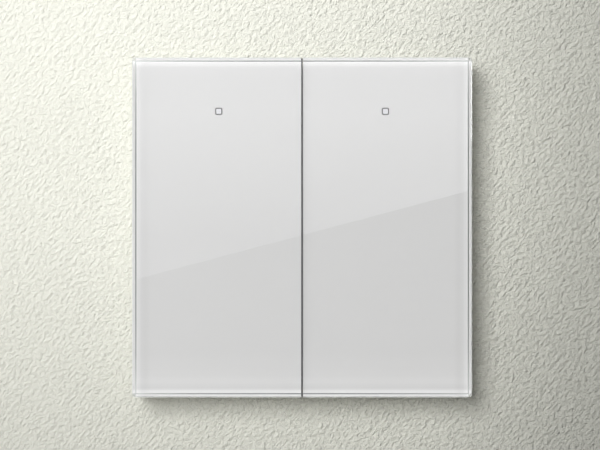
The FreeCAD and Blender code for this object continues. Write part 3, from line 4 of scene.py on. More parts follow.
import bpy
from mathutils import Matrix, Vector

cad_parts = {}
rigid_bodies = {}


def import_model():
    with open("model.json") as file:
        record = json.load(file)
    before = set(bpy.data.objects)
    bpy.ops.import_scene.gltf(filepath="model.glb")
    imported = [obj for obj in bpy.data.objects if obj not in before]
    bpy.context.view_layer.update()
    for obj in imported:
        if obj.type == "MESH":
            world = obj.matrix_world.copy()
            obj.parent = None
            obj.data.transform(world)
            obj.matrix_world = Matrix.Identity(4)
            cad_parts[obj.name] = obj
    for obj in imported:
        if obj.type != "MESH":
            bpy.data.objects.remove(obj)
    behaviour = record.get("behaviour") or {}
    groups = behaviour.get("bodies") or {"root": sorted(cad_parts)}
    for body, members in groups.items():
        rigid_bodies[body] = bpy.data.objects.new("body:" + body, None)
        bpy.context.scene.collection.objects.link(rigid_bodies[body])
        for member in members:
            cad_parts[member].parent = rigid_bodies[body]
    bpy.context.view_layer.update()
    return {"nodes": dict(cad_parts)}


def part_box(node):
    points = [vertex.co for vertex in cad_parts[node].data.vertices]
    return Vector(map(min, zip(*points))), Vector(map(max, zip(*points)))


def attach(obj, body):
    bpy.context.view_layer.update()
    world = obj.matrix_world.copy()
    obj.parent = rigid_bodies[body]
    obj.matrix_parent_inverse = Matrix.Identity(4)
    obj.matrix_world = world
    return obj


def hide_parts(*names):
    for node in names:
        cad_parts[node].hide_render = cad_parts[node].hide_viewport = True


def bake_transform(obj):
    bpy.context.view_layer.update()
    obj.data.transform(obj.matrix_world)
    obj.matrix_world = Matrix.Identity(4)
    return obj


# A flush-mounted light switch with two rocking glass keys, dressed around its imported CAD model.
# X runs to the right, Y into the wall and Z up, in metres. The glass faces -Y.

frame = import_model()
cad = frame["nodes"]


# The support ring
# Pressed from 1 mm steel sheet with two legs bent back, then zinc plated and passivated. That
# gives a cool even silver, rolled in faint lines along the sheet, a little cloudy in patches.
LINE_DEPTH = 0.000004
SMOOTHEST, ROUGHEST = 0.6, 1.5


def linear(hex_colour):
    """An sRGB hex colour as linear red, green, blue and alpha."""
    channels = [int(hex_colour[place:place + 2], 16) / 255 for place in (1, 3, 5)]
    return [c / 12.92 if c <= 0.04045 else ((c + 0.055) / 1.055) ** 2.4 for c in channels] + [1.0]


def shaded(hex_colour, share):
    """A hex colour in linear values, made darker or paler by a share."""
    return [min(1.0, channel * share) for channel in linear(hex_colour)[:3]] + [1.0]


def new_material(name, hex_colour, **values):
    """A material with its Principled shader set to a colour and to the values given by input name."""
    material = bpy.data.materials.new(name)
    material.use_nodes = True
    shader = material.node_tree.nodes["Principled BSDF"]
    shader.inputs["Base Color"].default_value = linear(hex_colour)
    for socket, number in values.items():
        shader.inputs[socket.replace("_", " ")].default_value = number
    return material, material.node_tree, shader


def add_node(tree, kind, inputs=None, **settings):
    """Adds a node, sets it up, and gives each input a value or a link."""
    node = tree.nodes.new("ShaderNode" + kind)
    for name, setting in settings.items():
        setattr(node, name, setting)
    for name, given in (inputs or {}).items():
        if isinstance(given, bpy.types.NodeSocket):
            tree.links.new(given, node.inputs[name])
        else:
            node.inputs[name].default_value = given
    return node


def noise_scale(width):
    """The scale at which the spots of a noise are about this wide."""
    return 0.5 / width


def cloud_colour(tree, shader, hex_colour, darkest, palest, **noise):
    """Clouds a shader's colour between two shares of it, in soft patches."""
    place = add_node(tree, "TexCoord").outputs["Object"]
    clouds = add_node(tree, "TexNoise", {"Vector": place, **noise})
    tint = add_node(tree, "ValToRGB", {"Fac": clouds.outputs["Fac"]})
    tint.color_ramp.elements[0].color = shaded(hex_colour, darkest)
    tint.color_ramp.elements[1].color = shaded(hex_colour, palest)
    tree.links.new(tint.outputs["Color"], shader.inputs["Base Color"])


def metal(name, hex_colour, roughness, streak_width, stretch, edge=0.00015):
    """A metal with fine working lines, drawn out along one axis, and edges that catch the light."""
    material, tree, shader = new_material(name, hex_colour, Roughness=roughness, Metallic=1.0)
    place = add_node(tree, "TexCoord").outputs["Object"]
    drawn_out = add_node(tree, "Mapping", {"Vector": place, "Scale": stretch})
    lines = add_node(
        tree,
        "TexNoise",
        {"Vector": drawn_out.outputs[0], "Scale": noise_scale(streak_width), "Detail": 3.0},
    )
    sheen = add_node(
        tree,
        "MapRange",
        {"Value": lines.outputs["Fac"], "To Min": roughness * SMOOTHEST, "To Max": roughness * ROUGHEST},
    )
    tree.links.new(sheen.outputs["Result"], shader.inputs["Roughness"])
    rounded = add_node(tree, "Bevel", {"Radius": edge}, samples=4)
    bump = add_node(
        tree,
        "Bump",
        {"Height": lines.outputs["Fac"], "Distance": LINE_DEPTH, "Normal": rounded.outputs["Normal"]},
    )
    tree.links.new(bump.outputs["Normal"], shader.inputs["Normal"])
    cloud_colour(tree, shader, hex_colour, 0.86, 1.1, Scale=120.0, Detail=2.0)
    return material


def dress(material, *names):
    """Gives CAD nodes a material in place of their plain one."""
    for name in names:
        cad[name].data.materials.clear()
        cad[name].data.materials.append(material)


dress(metal("zinc_plated_sheet", "#BFC3C7", 0.34, 0.0003, (0.08, 1.0, 1.0)), "support_ring")


# The rear housing and the insert cover
# A box and its lid of glass-filled flame-retardant plastic, moulded in a spark-eroded tool. That
# leaves an even matt grain, and the glass fibres cloud the grey a little.
GRAIN = 0.00022


def moulded(name, hex_colour, roughness, grain=GRAIN, depth=0.00002, edge=0.0003, clouding=0.07):
    """A moulded plastic: eroded grain, slightly clouded colour, and edges rounded by the mould."""
    material, tree, shader = new_material(name, hex_colour, Roughness=roughness, IOR=1.55)
    place = add_node(tree, "TexCoord").outputs["Object"]
    rounded = add_node(tree, "Bevel", {"Radius": edge}, samples=4)
    grains = add_node(tree, "TexNoise", {"Vector": place, "Scale": noise_scale(grain), "Detail": 2.0})
    bump = add_node(
        tree,
        "Bump",
        {"Height": grains.outputs["Fac"], "Distance": depth, "Normal": rounded.outputs["Normal"]},
    )
    tree.links.new(bump.outputs["Normal"], shader.inputs["Normal"])
    cloud_colour(tree, shader, hex_colour, 1.0 - clouding, 1.0 + clouding, Scale=90.0, Detail=3.0)
    return material


dress(moulded("glass_filled_plastic", "#6F7276", 0.55), "insert_cover", "rear_housing")


# The power board
# Glass-fibre board under green solder mask, etched on both faces. The copper under the mask shows
# as paler runs on a 2.54 mm grid, and the sawn edges show the yellowish fibre.
GRID = 0.00254
BETWEEN_RUNS = 0.0003
COPPER_STEP = 0.000035
SAWN_FIBRE = "#B5AE78"


def printed_board(name, hex_mask, hex_covered_copper):
    """A printed circuit board with runs of copper under its solder mask."""
    material, tree, shader = new_material(name, hex_mask, Roughness=0.32, IOR=1.5)
    place = add_node(tree, "TexCoord")
    upright = add_node(
        tree, "Mapping", {"Vector": place.outputs["Object"], "Rotation": (math.pi / 2, 0, 0)}
    )
    runs = add_node(
        tree,
        "TexBrick",
        {
            "Vector": upright.outputs[0],
            "Color1": linear(hex_mask),
            "Color2": shaded(hex_mask, 0.9),
            "Mortar": linear(hex_covered_copper),
            "Scale": 1.0,
            "Mortar Size": BETWEEN_RUNS,
            "Brick Width": 3 * GRID,
            "Row Height": GRID,
        },
    )
    axes = add_node(tree, "SeparateXYZ", {0: place.outputs["Normal"]})
    flat = add_node(tree, "Math", {0: axes.outputs["Y"]}, operation="ABSOLUTE")
    is_edge = add_node(tree, "Math", {0: flat.outputs[0], 1: 0.5}, operation="LESS_THAN")
    colour = add_node(
        tree, "MixRGB", {0: is_edge.outputs[0], 1: runs.outputs["Color"], 2: linear(SAWN_FIBRE)}
    )
    tree.links.new(colour.outputs[0], shader.inputs["Base Color"])
    bump = add_node(tree, "Bump", {"Height": runs.outputs["Fac"], "Distance": COPPER_STEP})
    tree.links.new(bump.outputs["Normal"], shader.inputs["Normal"])
    return material


dress(printed_board("power_board_mask", "#1D5B3B", "#2F7A4E"), "power_board")


# The relays
# Two sealed relays in cases of black moulded plastic, glossier than the housing, with a fine grain.
dress(moulded("relay_case_plastic", "#232427", 0.38, grain=0.00016, depth=0.00001), "relays")


# The transformer
# A small block wound in yellow polyester tape, whose turns show as fine steps, between the two
# dark grey halves of its pressed ferrite core.
CORE_SHOWS = 0.0022
TAPE_YELLOW = "#DDB43C"
FERRITE_GREY = "#3C3D40"
tape_low, tape_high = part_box("transformer")
wound, wound_tree, wound_shader = new_material("taped_windings", TAPE_YELLOW, Roughness=0.3, IOR=1.6)
wound_place = add_node(wound_tree, "TexCoord").outputs["Object"]
wound_axes = add_node(wound_tree, "SeparateXYZ", {0: wound_place})
half_length = (tape_high.x - tape_low.x) / 2
along = add_node(wound_tree, "Math", {0: wound_axes.outputs["X"]}, operation="ABSOLUTE")
in_core = add_node(
    wound_tree, "Math", {0: along.outputs[0], 1: half_length - CORE_SHOWS}, operation="GREATER_THAN"
)
turns = add_node(wound_tree, "TexWave", {"Vector": wound_place, "Scale": 110.0, "Distortion": 0.3})
pressed = add_node(wound_tree, "TexNoise", {"Vector": wound_place, "Scale": 2500.0})
wound_colour = add_node(
    wound_tree, "MixRGB", {0: in_core.outputs[0], 1: linear(TAPE_YELLOW), 2: linear(FERRITE_GREY)}
)
wound_sheen = add_node(wound_tree, "MapRange", {"Value": in_core.outputs[0], "To Min": 0.3, "To Max": 0.65})
# The tape is stepped in turns and the ferrite is grainy
wound_height = add_node(
    wound_tree, "MixRGB", {0: in_core.outputs[0], 1: turns.outputs["Fac"], 2: pressed.outputs["Fac"]}
)
wound_bump = add_node(wound_tree, "Bump", {"Height": wound_height.outputs[0], "Distance": 0.00002})
for socket, source in (
    ("Base Color", wound_colour.outputs[0]),
    ("Roughness", wound_sheen.outputs["Result"]),
    ("Normal", wound_bump.outputs["Normal"]),
):
    wound_tree.links.new(source, wound_shader.inputs[socket])
dress(wound, "transformer")


# The capacitor
# An aluminium can in a shrunk dark blue sleeve, which leaves the rolled rim and the end bare.
BARE_RIM = 0.0007
SLEEVE_BLUE = "#22304E"
BARE_ALUMINIUM = "#C9CBCE"


def roughen(tree, shader, scale, depth):
    """Gives a surface small uneven bumps of one size."""
    place = add_node(tree, "TexCoord").outputs["Object"]
    noise = add_node(tree, "TexNoise", {"Vector": place, "Scale": scale})
    bump = add_node(tree, "Bump", {"Height": noise.outputs["Fac"], "Distance": depth})
    tree.links.new(bump.outputs["Normal"], shader.inputs["Normal"])


rim_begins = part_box("capacitor")[1].y - BARE_RIM
can, can_tree, can_shader = new_material("sleeved_can", SLEEVE_BLUE, Roughness=0.3)
can_place = add_node(can_tree, "TexCoord").outputs["Object"]
can_axes = add_node(can_tree, "SeparateXYZ", {0: can_place})
is_bare = add_node(can_tree, "Math", {0: can_axes.outputs["Y"], 1: rim_begins}, operation="GREATER_THAN")
can_colour = add_node(
    can_tree, "MixRGB", {0: is_bare.outputs[0], 1: linear(SLEEVE_BLUE), 2: linear(BARE_ALUMINIUM)}
)
can_tree.links.new(can_colour.outputs[0], can_shader.inputs["Base Color"])
can_tree.links.new(is_bare.outputs[0], can_shader.inputs["Metallic"])
roughen(can_tree, can_shader, 500.0, 0.00002)
dress(can, "capacitor")


# The surge protector
# A disc dipped in blue epoxy, which dries glossy and slightly uneven.
dress(
    moulded("dipped_blue_epoxy", "#2B5B9C", 0.22, grain=0.0008, depth=0.00004, clouding=0.1),
    "surge_protector",
)


# The terminals
# A block of light grey polyamide holds five tumbled brass clamps, each closed by a plated screw.
dress(moulded("light_grey_polyamide", "#A7A9AB", 0.5), "terminal_block")
dress(metal("tumbled_brass", "#C9A55C", 0.32, 0.0004, (1.0, 1.0, 1.0)), "terminal_clamps")


# The screws
# Cold-headed steel, zinc plated, all with a cross recess or slot. The plating is bright on the
# crowns of the heads and duller in the recesses.
dress(
    metal("zinc_plated_screws", "#C6C8CA", 0.26, 0.00025, (1.0, 0.3, 1.0)),
    "terminal_screws",
    "insert_screws",
    "bracket_screws",
    "housing_screws",
    "module_screws",
)


# The plug-in link between the two parts
# Black high-temperature plastic, socket on one board and header on the other, and gold-flashed pins.
dress(
    moulded("black_high_heat_plastic", "#1C1D1F", 0.42, grain=0.00014, depth=0.00001),
    "link_socket",
    "link_header",
)
dress(metal("gold_flashed_brass", "#E2BF6B", 0.22, 0.0002, (1.0, 0.2, 1.0)), "link_pins", "switch_contacts")


# The module housing
# The tub behind the ring, of the same glass-filled plastic as the rear housing, one shade darker.
dress(moulded("dark_glass_filled_plastic", "#5F6266", 0.55), "module_housing")


# The control board and what is on it
# A second, thinner board. The chip is moulded in black epoxy with a matt etched face, the small
# components are fired ceramic, and the lamps are chips under clear cream resin.
dress(printed_board("control_board_mask", "#1B5438", "#2C7249"), "control_board")
dress(moulded("chip_epoxy", "#202123", 0.6, grain=0.0001, depth=0.000008), "controller_chip")
dress(moulded("fired_ceramic", "#9A7A5C", 0.45, clouding=0.12), "board_components")
dress(moulded("lamp_resin", "#EFE7BE", 0.15, depth=0.000004), "indicator_lamps")


# The push switches
# Black moulded cases on bases of natural acetal, with acetal stems that slide in the cases, pushed
# back by springs of drawn stainless wire.
dress(moulded("switch_case_plastic", "#1F2022", 0.4, grain=0.00014, depth=0.00001), "switch_cases")
acetal = moulded("natural_acetal", "#E6E3DA", 0.3, depth=0.000006, clouding=0.03)
drawn_wire = metal("drawn_spring_wire", "#ADAFB2", 0.24, 0.00008, (1.0, 1.0, 1.0), edge=0.00002)
dress(acetal, "switch_bases")
for height in ("upper", "lower"):
    for side in ("left", "right"):
        stem = f"switch_stem_{height}_{side}"
        dress(acetal, stem)
        # A spring stands on its base and is pressed together by the stem, so it's drawn as a copy that
        # belongs to neither body
        standing = cad[f"return_spring_{height}_{side}"]
        dress(drawn_wire, standing.name)
        bpy.ops.object.select_all(action="DESELECT")
        standing.select_set(True)
        bpy.context.view_layer.objects.active = standing
        bpy.ops.object.duplicate()
        coil = bpy.context.object
        coil.name = f"coil_{height}_{side}"
        bpy.ops.object.parent_clear(type="CLEAR_KEEP_TRANSFORM")
        bpy.ops.object.transform_apply(location=True, rotation=True, scale=True)
        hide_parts(standing.name)
        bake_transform(coil)


# The base frame and the module cover
# Pale polycarbonate, moulded with a fine eroded grain. The frame hides the ring and holds the keys
# off the wall, and the cover between the keys and the tub is a shade darker.
dress(moulded("pale_grey_polycarbonate", "#D6D6D2", 0.42, clouding=0.02), "base_frame")
dress(moulded("mid_grey_polycarbonate", "#8C8D8F", 0.45, clouding=0.03), "module_cover")


# The hinge pins
# Ground stainless rod, 1.8 mm across, with the grinding lines round it.
dress(
    metal("ground_stainless_rod", "#C9C9CB", 0.2, 0.0001, (1.0, 0.1, 0.1)),
    "hinge_pin_left",
    "hinge_pin_right",
)


# The key carriers
# White polycarbonate trays with a rim, ribs, push pads and hinge hooks, moulded in one shot.
dress(
    moulded("white_polycarbonate", "#E4E4E4", 0.38, clouding=0.015),
    "key_carrier_left",
    "key_carrier_right",
)


# The light pipes
# Clear acrylic, moulded and flame-clear, which carries light from the lamps to the indicators.
pipe, pipe_tree, pipe_shader = new_material(
    "clear_acrylic", "#F4F8FB", Roughness=0.04, IOR=1.49, Transmission_Weight=0.9
)
roughen(pipe_tree, pipe_shader, 300.0, 0.00003)
dress(pipe, "light_pipe_left", "light_pipe_right")


# The white coat behind the glass
# Adhesive film with a white printed face, rolled on bubble-free. Its rim is painted brighter, a
# painted highlight in place of the light that enters through the polished edges.
FILM_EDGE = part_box("adhesive_film_right")[1].x
FILM_WHITE = "#C7C6C7"
MM = 0.001
RAMP_REACH = 12 * MM
# The film's painted light and shade at distances in millimetres from each of its outer edges. Along
# the bottom, the painted light reaches further in.
SIDE_PAINTED_LIGHT = ((0.2, 1.16), (0.6, 1.09), (1.5, 0.985), (2.3, 0.96), (4.0, 1.0))
TOP_PAINTED_LIGHT = ((0.15, 1.52), (0.6, 1.3), (0.95, 1.24), (1.3, 1.1), (2.0, 1.03), (4.0, 1.0))
NEAR_BOTTOM_PAINTED_LIGHT = ((0.15, 1.31), (0.65, 1.29), (1.0, 1.13), (1.4, 1.04), (2.0, 1.06))
INNER_BOTTOM_PAINTED_LIGHT = ((2.8, 1.095), (3.4, 1.09), (4.7, 1.05), (7.0, 1.028), (11.0, 1.0))
MOST_PAINTED_LIGHT = 1.55


def grey_ramp(tree, driver, interpolation, stops):
    """A ramp through greys, each given by its place and its level, as a colour output."""
    ramp = add_node(tree, "ValToRGB", {"Fac": driver})
    ramp.color_ramp.interpolation = interpolation
    elements = ramp.color_ramp.elements
    for number, (place, level) in enumerate(stops):
        element = elements[number] if number < 2 else elements.new(place)
        element.position = place
        element.color = (level, level, level, 1.0)
    return ramp.outputs["Color"]


film, film_tree, film_shader = new_material("white_printed_film", FILM_WHITE, Roughness=0.55)
film_place = add_node(film_tree, "TexCoord")
film_axes = add_node(film_tree, "SeparateXYZ", {0: film_place.outputs["Object"]})
film_side = add_node(film_tree, "Math", {0: film_axes.outputs["X"]}, operation="ABSOLUTE")
painted_edge_light = (
    (film_side.outputs[0], "SUBTRACT", SIDE_PAINTED_LIGHT),
    (film_axes.outputs["Z"], "SUBTRACT", TOP_PAINTED_LIGHT),
    (film_axes.outputs["Z"], "ADD", NEAR_BOTTOM_PAINTED_LIGHT + INNER_BOTTOM_PAINTED_LIGHT),
)
coat_with_painted_light = [channel * MOST_PAINTED_LIGHT ** len(painted_edge_light) for channel in linear(FILM_WHITE)[:3]] + [1.0]
# Paints light and shade into the coat near each outer edge, in place of light through the edges
for place, operation, stops in painted_edge_light:
    depth = add_node(film_tree, "Math", {0: FILM_EDGE, 1: place}, operation=operation)
    share = add_node(film_tree, "MapRange", {"Value": depth.outputs[0], "From Max": RAMP_REACH})
    shares = [(distance * MM / RAMP_REACH, level / MOST_PAINTED_LIGHT) for distance, level in stops]
    painted_rim_light = grey_ramp(film_tree, share.outputs["Result"], "EASE", shares)
    coat_with_painted_light = add_node(film_tree, "MixRGB", {0: 1.0, 1: coat_with_painted_light, 2: painted_rim_light}, blend_type="MULTIPLY").outputs[0]
film_tree.links.new(coat_with_painted_light, film_shader.inputs["Base Color"])
dress(film, "adhesive_film_left", "adhesive_film_right")


# The indicators
# A clear acrylic plug in a dark sleeve sits close behind the glass. The lamp behind makes it glow
# faintly, a little bluer than the coat, and the sleeve shows as a thin rounded square.
dress(
    moulded("dark_moulded_sleeve", "#100E14", 0.6, grain=0.0001, depth=0.000005, edge=0.00005),
    "light_seal_left",
    "light_seal_right",
)
window, window_tree, window_shader = new_material(
    "lit_acrylic_plug", "#CFCED1", Roughness=0.15, IOR=1.49, Emission_Strength=0.05
)
window_shader.inputs["Emission Color"].default_value = linear("#DCE4FF")
roughen(window_tree, window_shader, 4000.0, 0.00001)
dress(window, "indicator_window_left", "indicator_window_right")


# The glass keys
# Each is a plate of clear float glass, cut, ground and polished: a 45 degree chamfer on its three
# outer sides, with a narrow ground line where it meets the face, and rounded outer corners.
CORNER_RADIUS = 0.0008
CHAMFER = 0.00095
GROUND_LINE = 0.00018
GLUE_LINE = 0.000004
POLISHED, GROUND, BONDED = 0, 1, 2
SAME_PLACE = 1e-6
GROUND_GREY = "#8F9291"
UPRIGHT_PAINTED_SHADE_GREY = "#707372"
CORNER_GREY = "#E4E6E5"
MOST_FADE = 0.6
FADE_BEND = 3.5


def select_parts(piece, kind, test):
    """In edit mode, selects only the edges or faces whose corners all pass a test."""
    bpy.ops.mesh.select_mode(type=kind)
    bpy.ops.mesh.select_all(action="DESELECT")
    bpy.ops.object.mode_set(mode="OBJECT")
    places = piece.data.vertices
    for part in piece.data.edges if kind == "EDGE" else piece.data.polygons:
        part.select = test([places[corner].co for corner in part.vertices])
    bpy.ops.object.mode_set(mode="EDIT")


def all_near(corners, axis, level):
    """True if every corner lies at one level of an axis."""
    return all(abs(getattr(corner, axis) - level) < SAME_PLACE for corner in corners)


def let_light_through(tree, shader, hex_colour):
    """Lets light from lamps and matt surfaces pass a material as if it were nearly clear."""
    light = add_node(tree, "LightPath")
    surface = shader.outputs[0]
    for kind in ("Is Diffuse Ray", "Is Shadow Ray"):
        clear = add_node(tree, "BsdfTransparent", {"Color": linear(hex_colour)})
        mix = add_node(tree, "MixShader", {0: light.outputs[kind], 1: surface, 2: clear.outputs[0]})
        surface = mix.outputs[0]
    tree.links.new(surface, tree.nodes["Material Output"].inputs["Surface"])


# Float glass is clear with a faint green cast, and light goes straight through it to the coat
# behind and back from there, so for light from lamps and matt surfaces it is nearly clear
glass, glass_tree, glass_shader = new_material(
    "polished_float_glass", "#F9FBFA", Roughness=0.0, IOR=1.52, Transmission_Weight=1.0
)
let_light_through(glass_tree, glass_shader, "#F7F7F7")

# The ground line scatters light, so it looks grey and matt between two polished faces. Along the
# upright sides it's painted darker, as painted shade. Towards the corners it fades to a paler grey.
ground, ground_tree, ground_shader = new_material(
    "fine_ground_glass", GROUND_GREY, Roughness=0.55, IOR=1.52
)
ground_place = add_node(ground_tree, "TexCoord").outputs["Object"]
ground_axes = add_node(ground_tree, "SeparateXYZ", {0: ground_place})
ground_across = add_node(ground_tree, "Math", {0: ground_axes.outputs["X"]}, operation="ABSOLUTE")
# Painted shade: the upright sides are painted a darker grey
is_upright = add_node(
    ground_tree, "Math", {0: ground_across.outputs[0], 1: FILM_EDGE - CHAMFER / 2}, operation="GREATER_THAN"
)
ground_with_painted_shade = add_node(
    ground_tree, "MixRGB", {0: is_upright.outputs[0], 1: linear(GROUND_GREY), 2: linear(UPRIGHT_PAINTED_SHADE_GREY)}
)
ground_height = add_node(ground_tree, "Math", {0: ground_axes.outputs["Z"]}, operation="ABSOLUTE")
ground_along = add_node(
    ground_tree, "Math", {0: ground_across.outputs[0], 1: ground_height.outputs[0]}, operation="MINIMUM"
)
ground_share = add_node(ground_tree, "Math", {0: ground_along.outputs[0], 1: FILM_EDGE}, operation="DIVIDE")
ground_bend = add_node(ground_tree, "Math", {0: ground_share.outputs[0], 1: FADE_BEND}, operation="POWER")
ground_fade = add_node(ground_tree, "MapRange", {"Value": ground_bend.outputs[0], "To Max": MOST_FADE})
faded_ground = add_node(
    ground_tree,
    "MixRGB",
    {0: ground_fade.outputs["Result"], 1: ground_with_painted_shade.outputs[0], 2: linear(CORNER_GREY)},
)
ground_tree.links.new(faded_ground.outputs[0], ground_shader.inputs["Base Color"])
roughen(ground_tree, ground_shader, 6000.0, 0.00001)
let_light_through(ground_tree, ground_shader, "#E8E8E8")

# Where the film is bonded on, the adhesive has the glass's own index, so this face shows nothing
bonded = bpy.data.materials.new("clear_adhesive")
bonded.use_nodes = True
bonded_tree = bonded.node_tree
bonded_tree.nodes.remove(bonded_tree.nodes["Principled BSDF"])
adhesive = add_node(bonded_tree, "BsdfTransparent", {"Color": (1.0, 1.0, 1.0, 1.0)})
bonded_tree.links.new(adhesive.outputs[0], bonded_tree.nodes["Material Output"].inputs["Surface"])

for side in (-1, 1):
    name = "left" if side < 0 else "right"
    low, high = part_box(f"glass_{name}")
    film_low, film_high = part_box(f"adhesive_film_{name}")
    back = high.y - GLUE_LINE
    bpy.ops.object.select_all(action="DESELECT")
    bpy.ops.mesh.primitive_cube_add(
        size=1,
        location=((low.x + high.x) / 2, (low.y + back) / 2, 0),
        scale=(high.x - low.x, back - low.y, high.z - low.z),
    )
    plate = bpy.context.object
    plate.name = f"glass_plate_{name}"
    bpy.ops.object.transform_apply(location=True, rotation=True, scale=True)
    for material in (glass, ground, bonded):
        plate.data.materials.append(material)
    outer = high.x if side > 0 else low.x
    inner = low.x if side > 0 else high.x
    bpy.ops.object.mode_set(mode="EDIT")
    for width, slot in ((CHAMFER, POLISHED), (GROUND_LINE, GROUND)):
        select_parts(
            plate, "EDGE", lambda ends: all_near(ends, "y", low.y) and not all_near(ends, "x", inner)
        )
        bpy.ops.mesh.bevel(offset=width, segments=1, affect="EDGES", material=slot)
    select_parts(
        plate, "EDGE", lambda ends: all_near(ends, "x", outer) and all_near(ends, "z", ends[0].z)
    )
    bpy.ops.mesh.bevel(offset=CORNER_RADIUS, segments=8, affect="EDGES", material=POLISHED)
    for axis, level in (("x", film_low.x), ("x", film_high.x), ("z", film_low.z), ("z", film_high.z)):
        select_parts(plate, "FACE", lambda corners: all_near(corners, "y", back))
        bpy.ops.mesh.bisect(
            plane_co=(level, 0, 0) if axis == "x" else (0, 0, level),
            plane_no=(1, 0, 0) if axis == "x" else (0, 0, 1),
        )
    bpy.ops.object.mode_set(mode="OBJECT")
    for face in plate.data.polygons:
        middle = face.center
        on_film = film_low.x < middle.x < film_high.x and film_low.z < middle.z < film_high.z
        if on_film and abs(middle.y - back) < SAME_PLACE:
            face.material_index = BONDED
    plate.data.update()
    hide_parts(f"glass_{name}")
    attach(plate, f"rocker_{name}")


# The lip that closes the gap
# A strip of soft grey elastomer, moulded on along the left key's gap side, keeps dust and light
# out of the slot between the keys. Its free edge stops short of the right key, and its ends reach
# a little past the carrier. Its dark grey is partly painted shade, standing in for the slot's shade.
LIP_REACH = 0.00046
LIP_FOOT = 0.0009
LIP_OVERHANG = 0.0005
LIP_ROUNDING = 0.8 * LIP_REACH
LIP_EDGE = 0.00004
carrier_low, carrier_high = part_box("key_carrier_left")
lip_foot = carrier_low.y + LIP_FOOT
free_edge = carrier_high.x + LIP_REACH
bpy.ops.object.select_all(action="DESELECT")
bpy.ops.mesh.primitive_cube_add(
    size=1,
    location=((carrier_high.x + free_edge) / 2, (carrier_low.y + lip_foot) / 2, 0),
    scale=(LIP_REACH, LIP_FOOT, 2 * (carrier_high.z + LIP_OVERHANG)),
)
lip = bpy.context.object
lip.name = "gap_lip"
bpy.ops.object.transform_apply(location=True, rotation=True, scale=True)
bpy.ops.object.mode_set(mode="EDIT")
select_parts(lip, "EDGE", lambda ends: all_near(ends, "x", free_edge) and all_near(ends, "y", lip_foot))
bpy.ops.mesh.bevel(offset=LIP_ROUNDING, segments=4, affect="EDGES")
bpy.ops.object.mode_set(mode="OBJECT")
lip_edges = lip.modifiers.new("moulded_edges", "BEVEL")
lip_edges.width = LIP_EDGE
lip_edges.segments = 2
bpy.ops.object.modifier_apply(modifier=lip_edges.name)
elastomer_and_painted_shade = moulded("grey_elastomer", "#626264", 0.7, grain=0.0001, depth=0.000005, edge=0.00003)
lip.data.materials.append(elastomer_and_painted_shade)
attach(lip, "rocker_left")


# The wall and the floor
# The switch hangs on a rough-plastered wall, painted warm off-white, over the opening for its
# box. The wall is drawn from the room's side only, so that the back of the switch shows.
WALL_SIDE = 3.0
OPENING = 0.079
WALL_SET_BACK = 0.00005
PLASTER_WHITE = "#FFFFF4"
STROKE_ANGLE = math.radians(42)
STROKE_STRETCH = 1.4
PLASTER_DEPTH = 0.0021
# The painted shade over the stretch of wall around the switch, rightwards and then downwards
SHOWN = 0.09
WALL_PAINTED_SHADE = {
    "X": (SHOWN, ((0.0, 0.9), (0.25, 1.0), (0.66, 1.0), (0.85, 0.67), (1.0, 0.565))),
    "Z": (-SHOWN, ((0.0, 1.0), (0.5, 0.9), (0.8, 0.67), (1.0, 0.6))),
}
FLOOR_LEVEL = -0.6
BACKDROP = "#E8E8E4"

bpy.ops.object.select_all(action="DESELECT")
bpy.ops.mesh.primitive_plane_add(
    size=WALL_SIDE, location=(0, -WALL_SET_BACK, 0), rotation=(math.pi / 2, 0, 0)
)
wall = bpy.context.object
wall.name = "plaster_wall"
bpy.ops.object.transform_apply(location=True, rotation=True, scale=True)
bpy.ops.object.mode_set(mode="EDIT")
bpy.ops.mesh.inset(thickness=(WALL_SIDE - OPENING) / 2)
bpy.ops.mesh.delete(type="FACE")
bpy.ops.object.mode_set(mode="OBJECT")
plaster, plaster_tree, plaster_shader = new_material("rough_plaster", PLASTER_WHITE, Roughness=0.9)
place = add_node(plaster_tree, "TexCoord")
# The float drew the plaster out upwards to the right
drawn = add_node(
    plaster_tree,
    "Mapping",
    {
        "Vector": place.outputs["Object"],
        "Rotation": (0, STROKE_ANGLE, 0),
        "Scale": (1.0, 1.0, STROKE_STRETCH),
    },
    vector_type="TEXTURE",
)
coarse = add_node(
    plaster_tree,
    "TexNoise",
    {"Vector": drawn.outputs[0], "Scale": 1050.0, "Detail": 3.0, "Roughness": 0.6},
)
# The plaster is rougher to the right
apart = add_node(plaster_tree, "SeparateXYZ", {0: place.outputs["Object"]})
grip = add_node(
    plaster_tree,
    "MapRange",
    {"Value": apart.outputs["X"], "From Min": -0.07, "From Max": 0.04, "To Min": 0.7, "To Max": 1.0},
)
bump = add_node(
    plaster_tree,
    "Bump",
    {"Height": coarse.outputs["Fac"], "Distance": PLASTER_DEPTH, "Strength": grip.outputs["Result"]},
)
plaster_tree.links.new(bump.outputs["Normal"], plaster_shader.inputs["Normal"])
# The wall is painted darker away from the window, to the right and downwards, as painted shade
painted_shades = []
for axis, (reach, stops) in WALL_PAINTED_SHADE.items():
    along = add_node(
        plaster_tree, "MapRange", {"Value": apart.outputs[axis], "From Min": -reach, "From Max": reach}
    )
    painted_shades.append(grey_ramp(plaster_tree, along.outputs["Result"], "B_SPLINE", stops))
painted_shade = add_node(plaster_tree, "MixRGB", {0: 1.0, 1: painted_shades[0], 2: painted_shades[1]}, blend_type="MULTIPLY")
paint_with_painted_shade = add_node(
    plaster_tree, "MixRGB", {0: 1.0, 1: painted_shade.outputs[0], 2: linear(PLASTER_WHITE)}, blend_type="MULTIPLY"
)
plaster_tree.links.new(paint_with_painted_shade.outputs[0], plaster_shader.inputs["Base Color"])
facing = add_node(plaster_tree, "NewGeometry")
see_through = add_node(plaster_tree, "BsdfTransparent")
wall_mix = add_node(
    plaster_tree,
    "MixShader",
    {0: facing.outputs["Backfacing"], 1: plaster_shader.outputs[0], 2: see_through.outputs[0]},
)
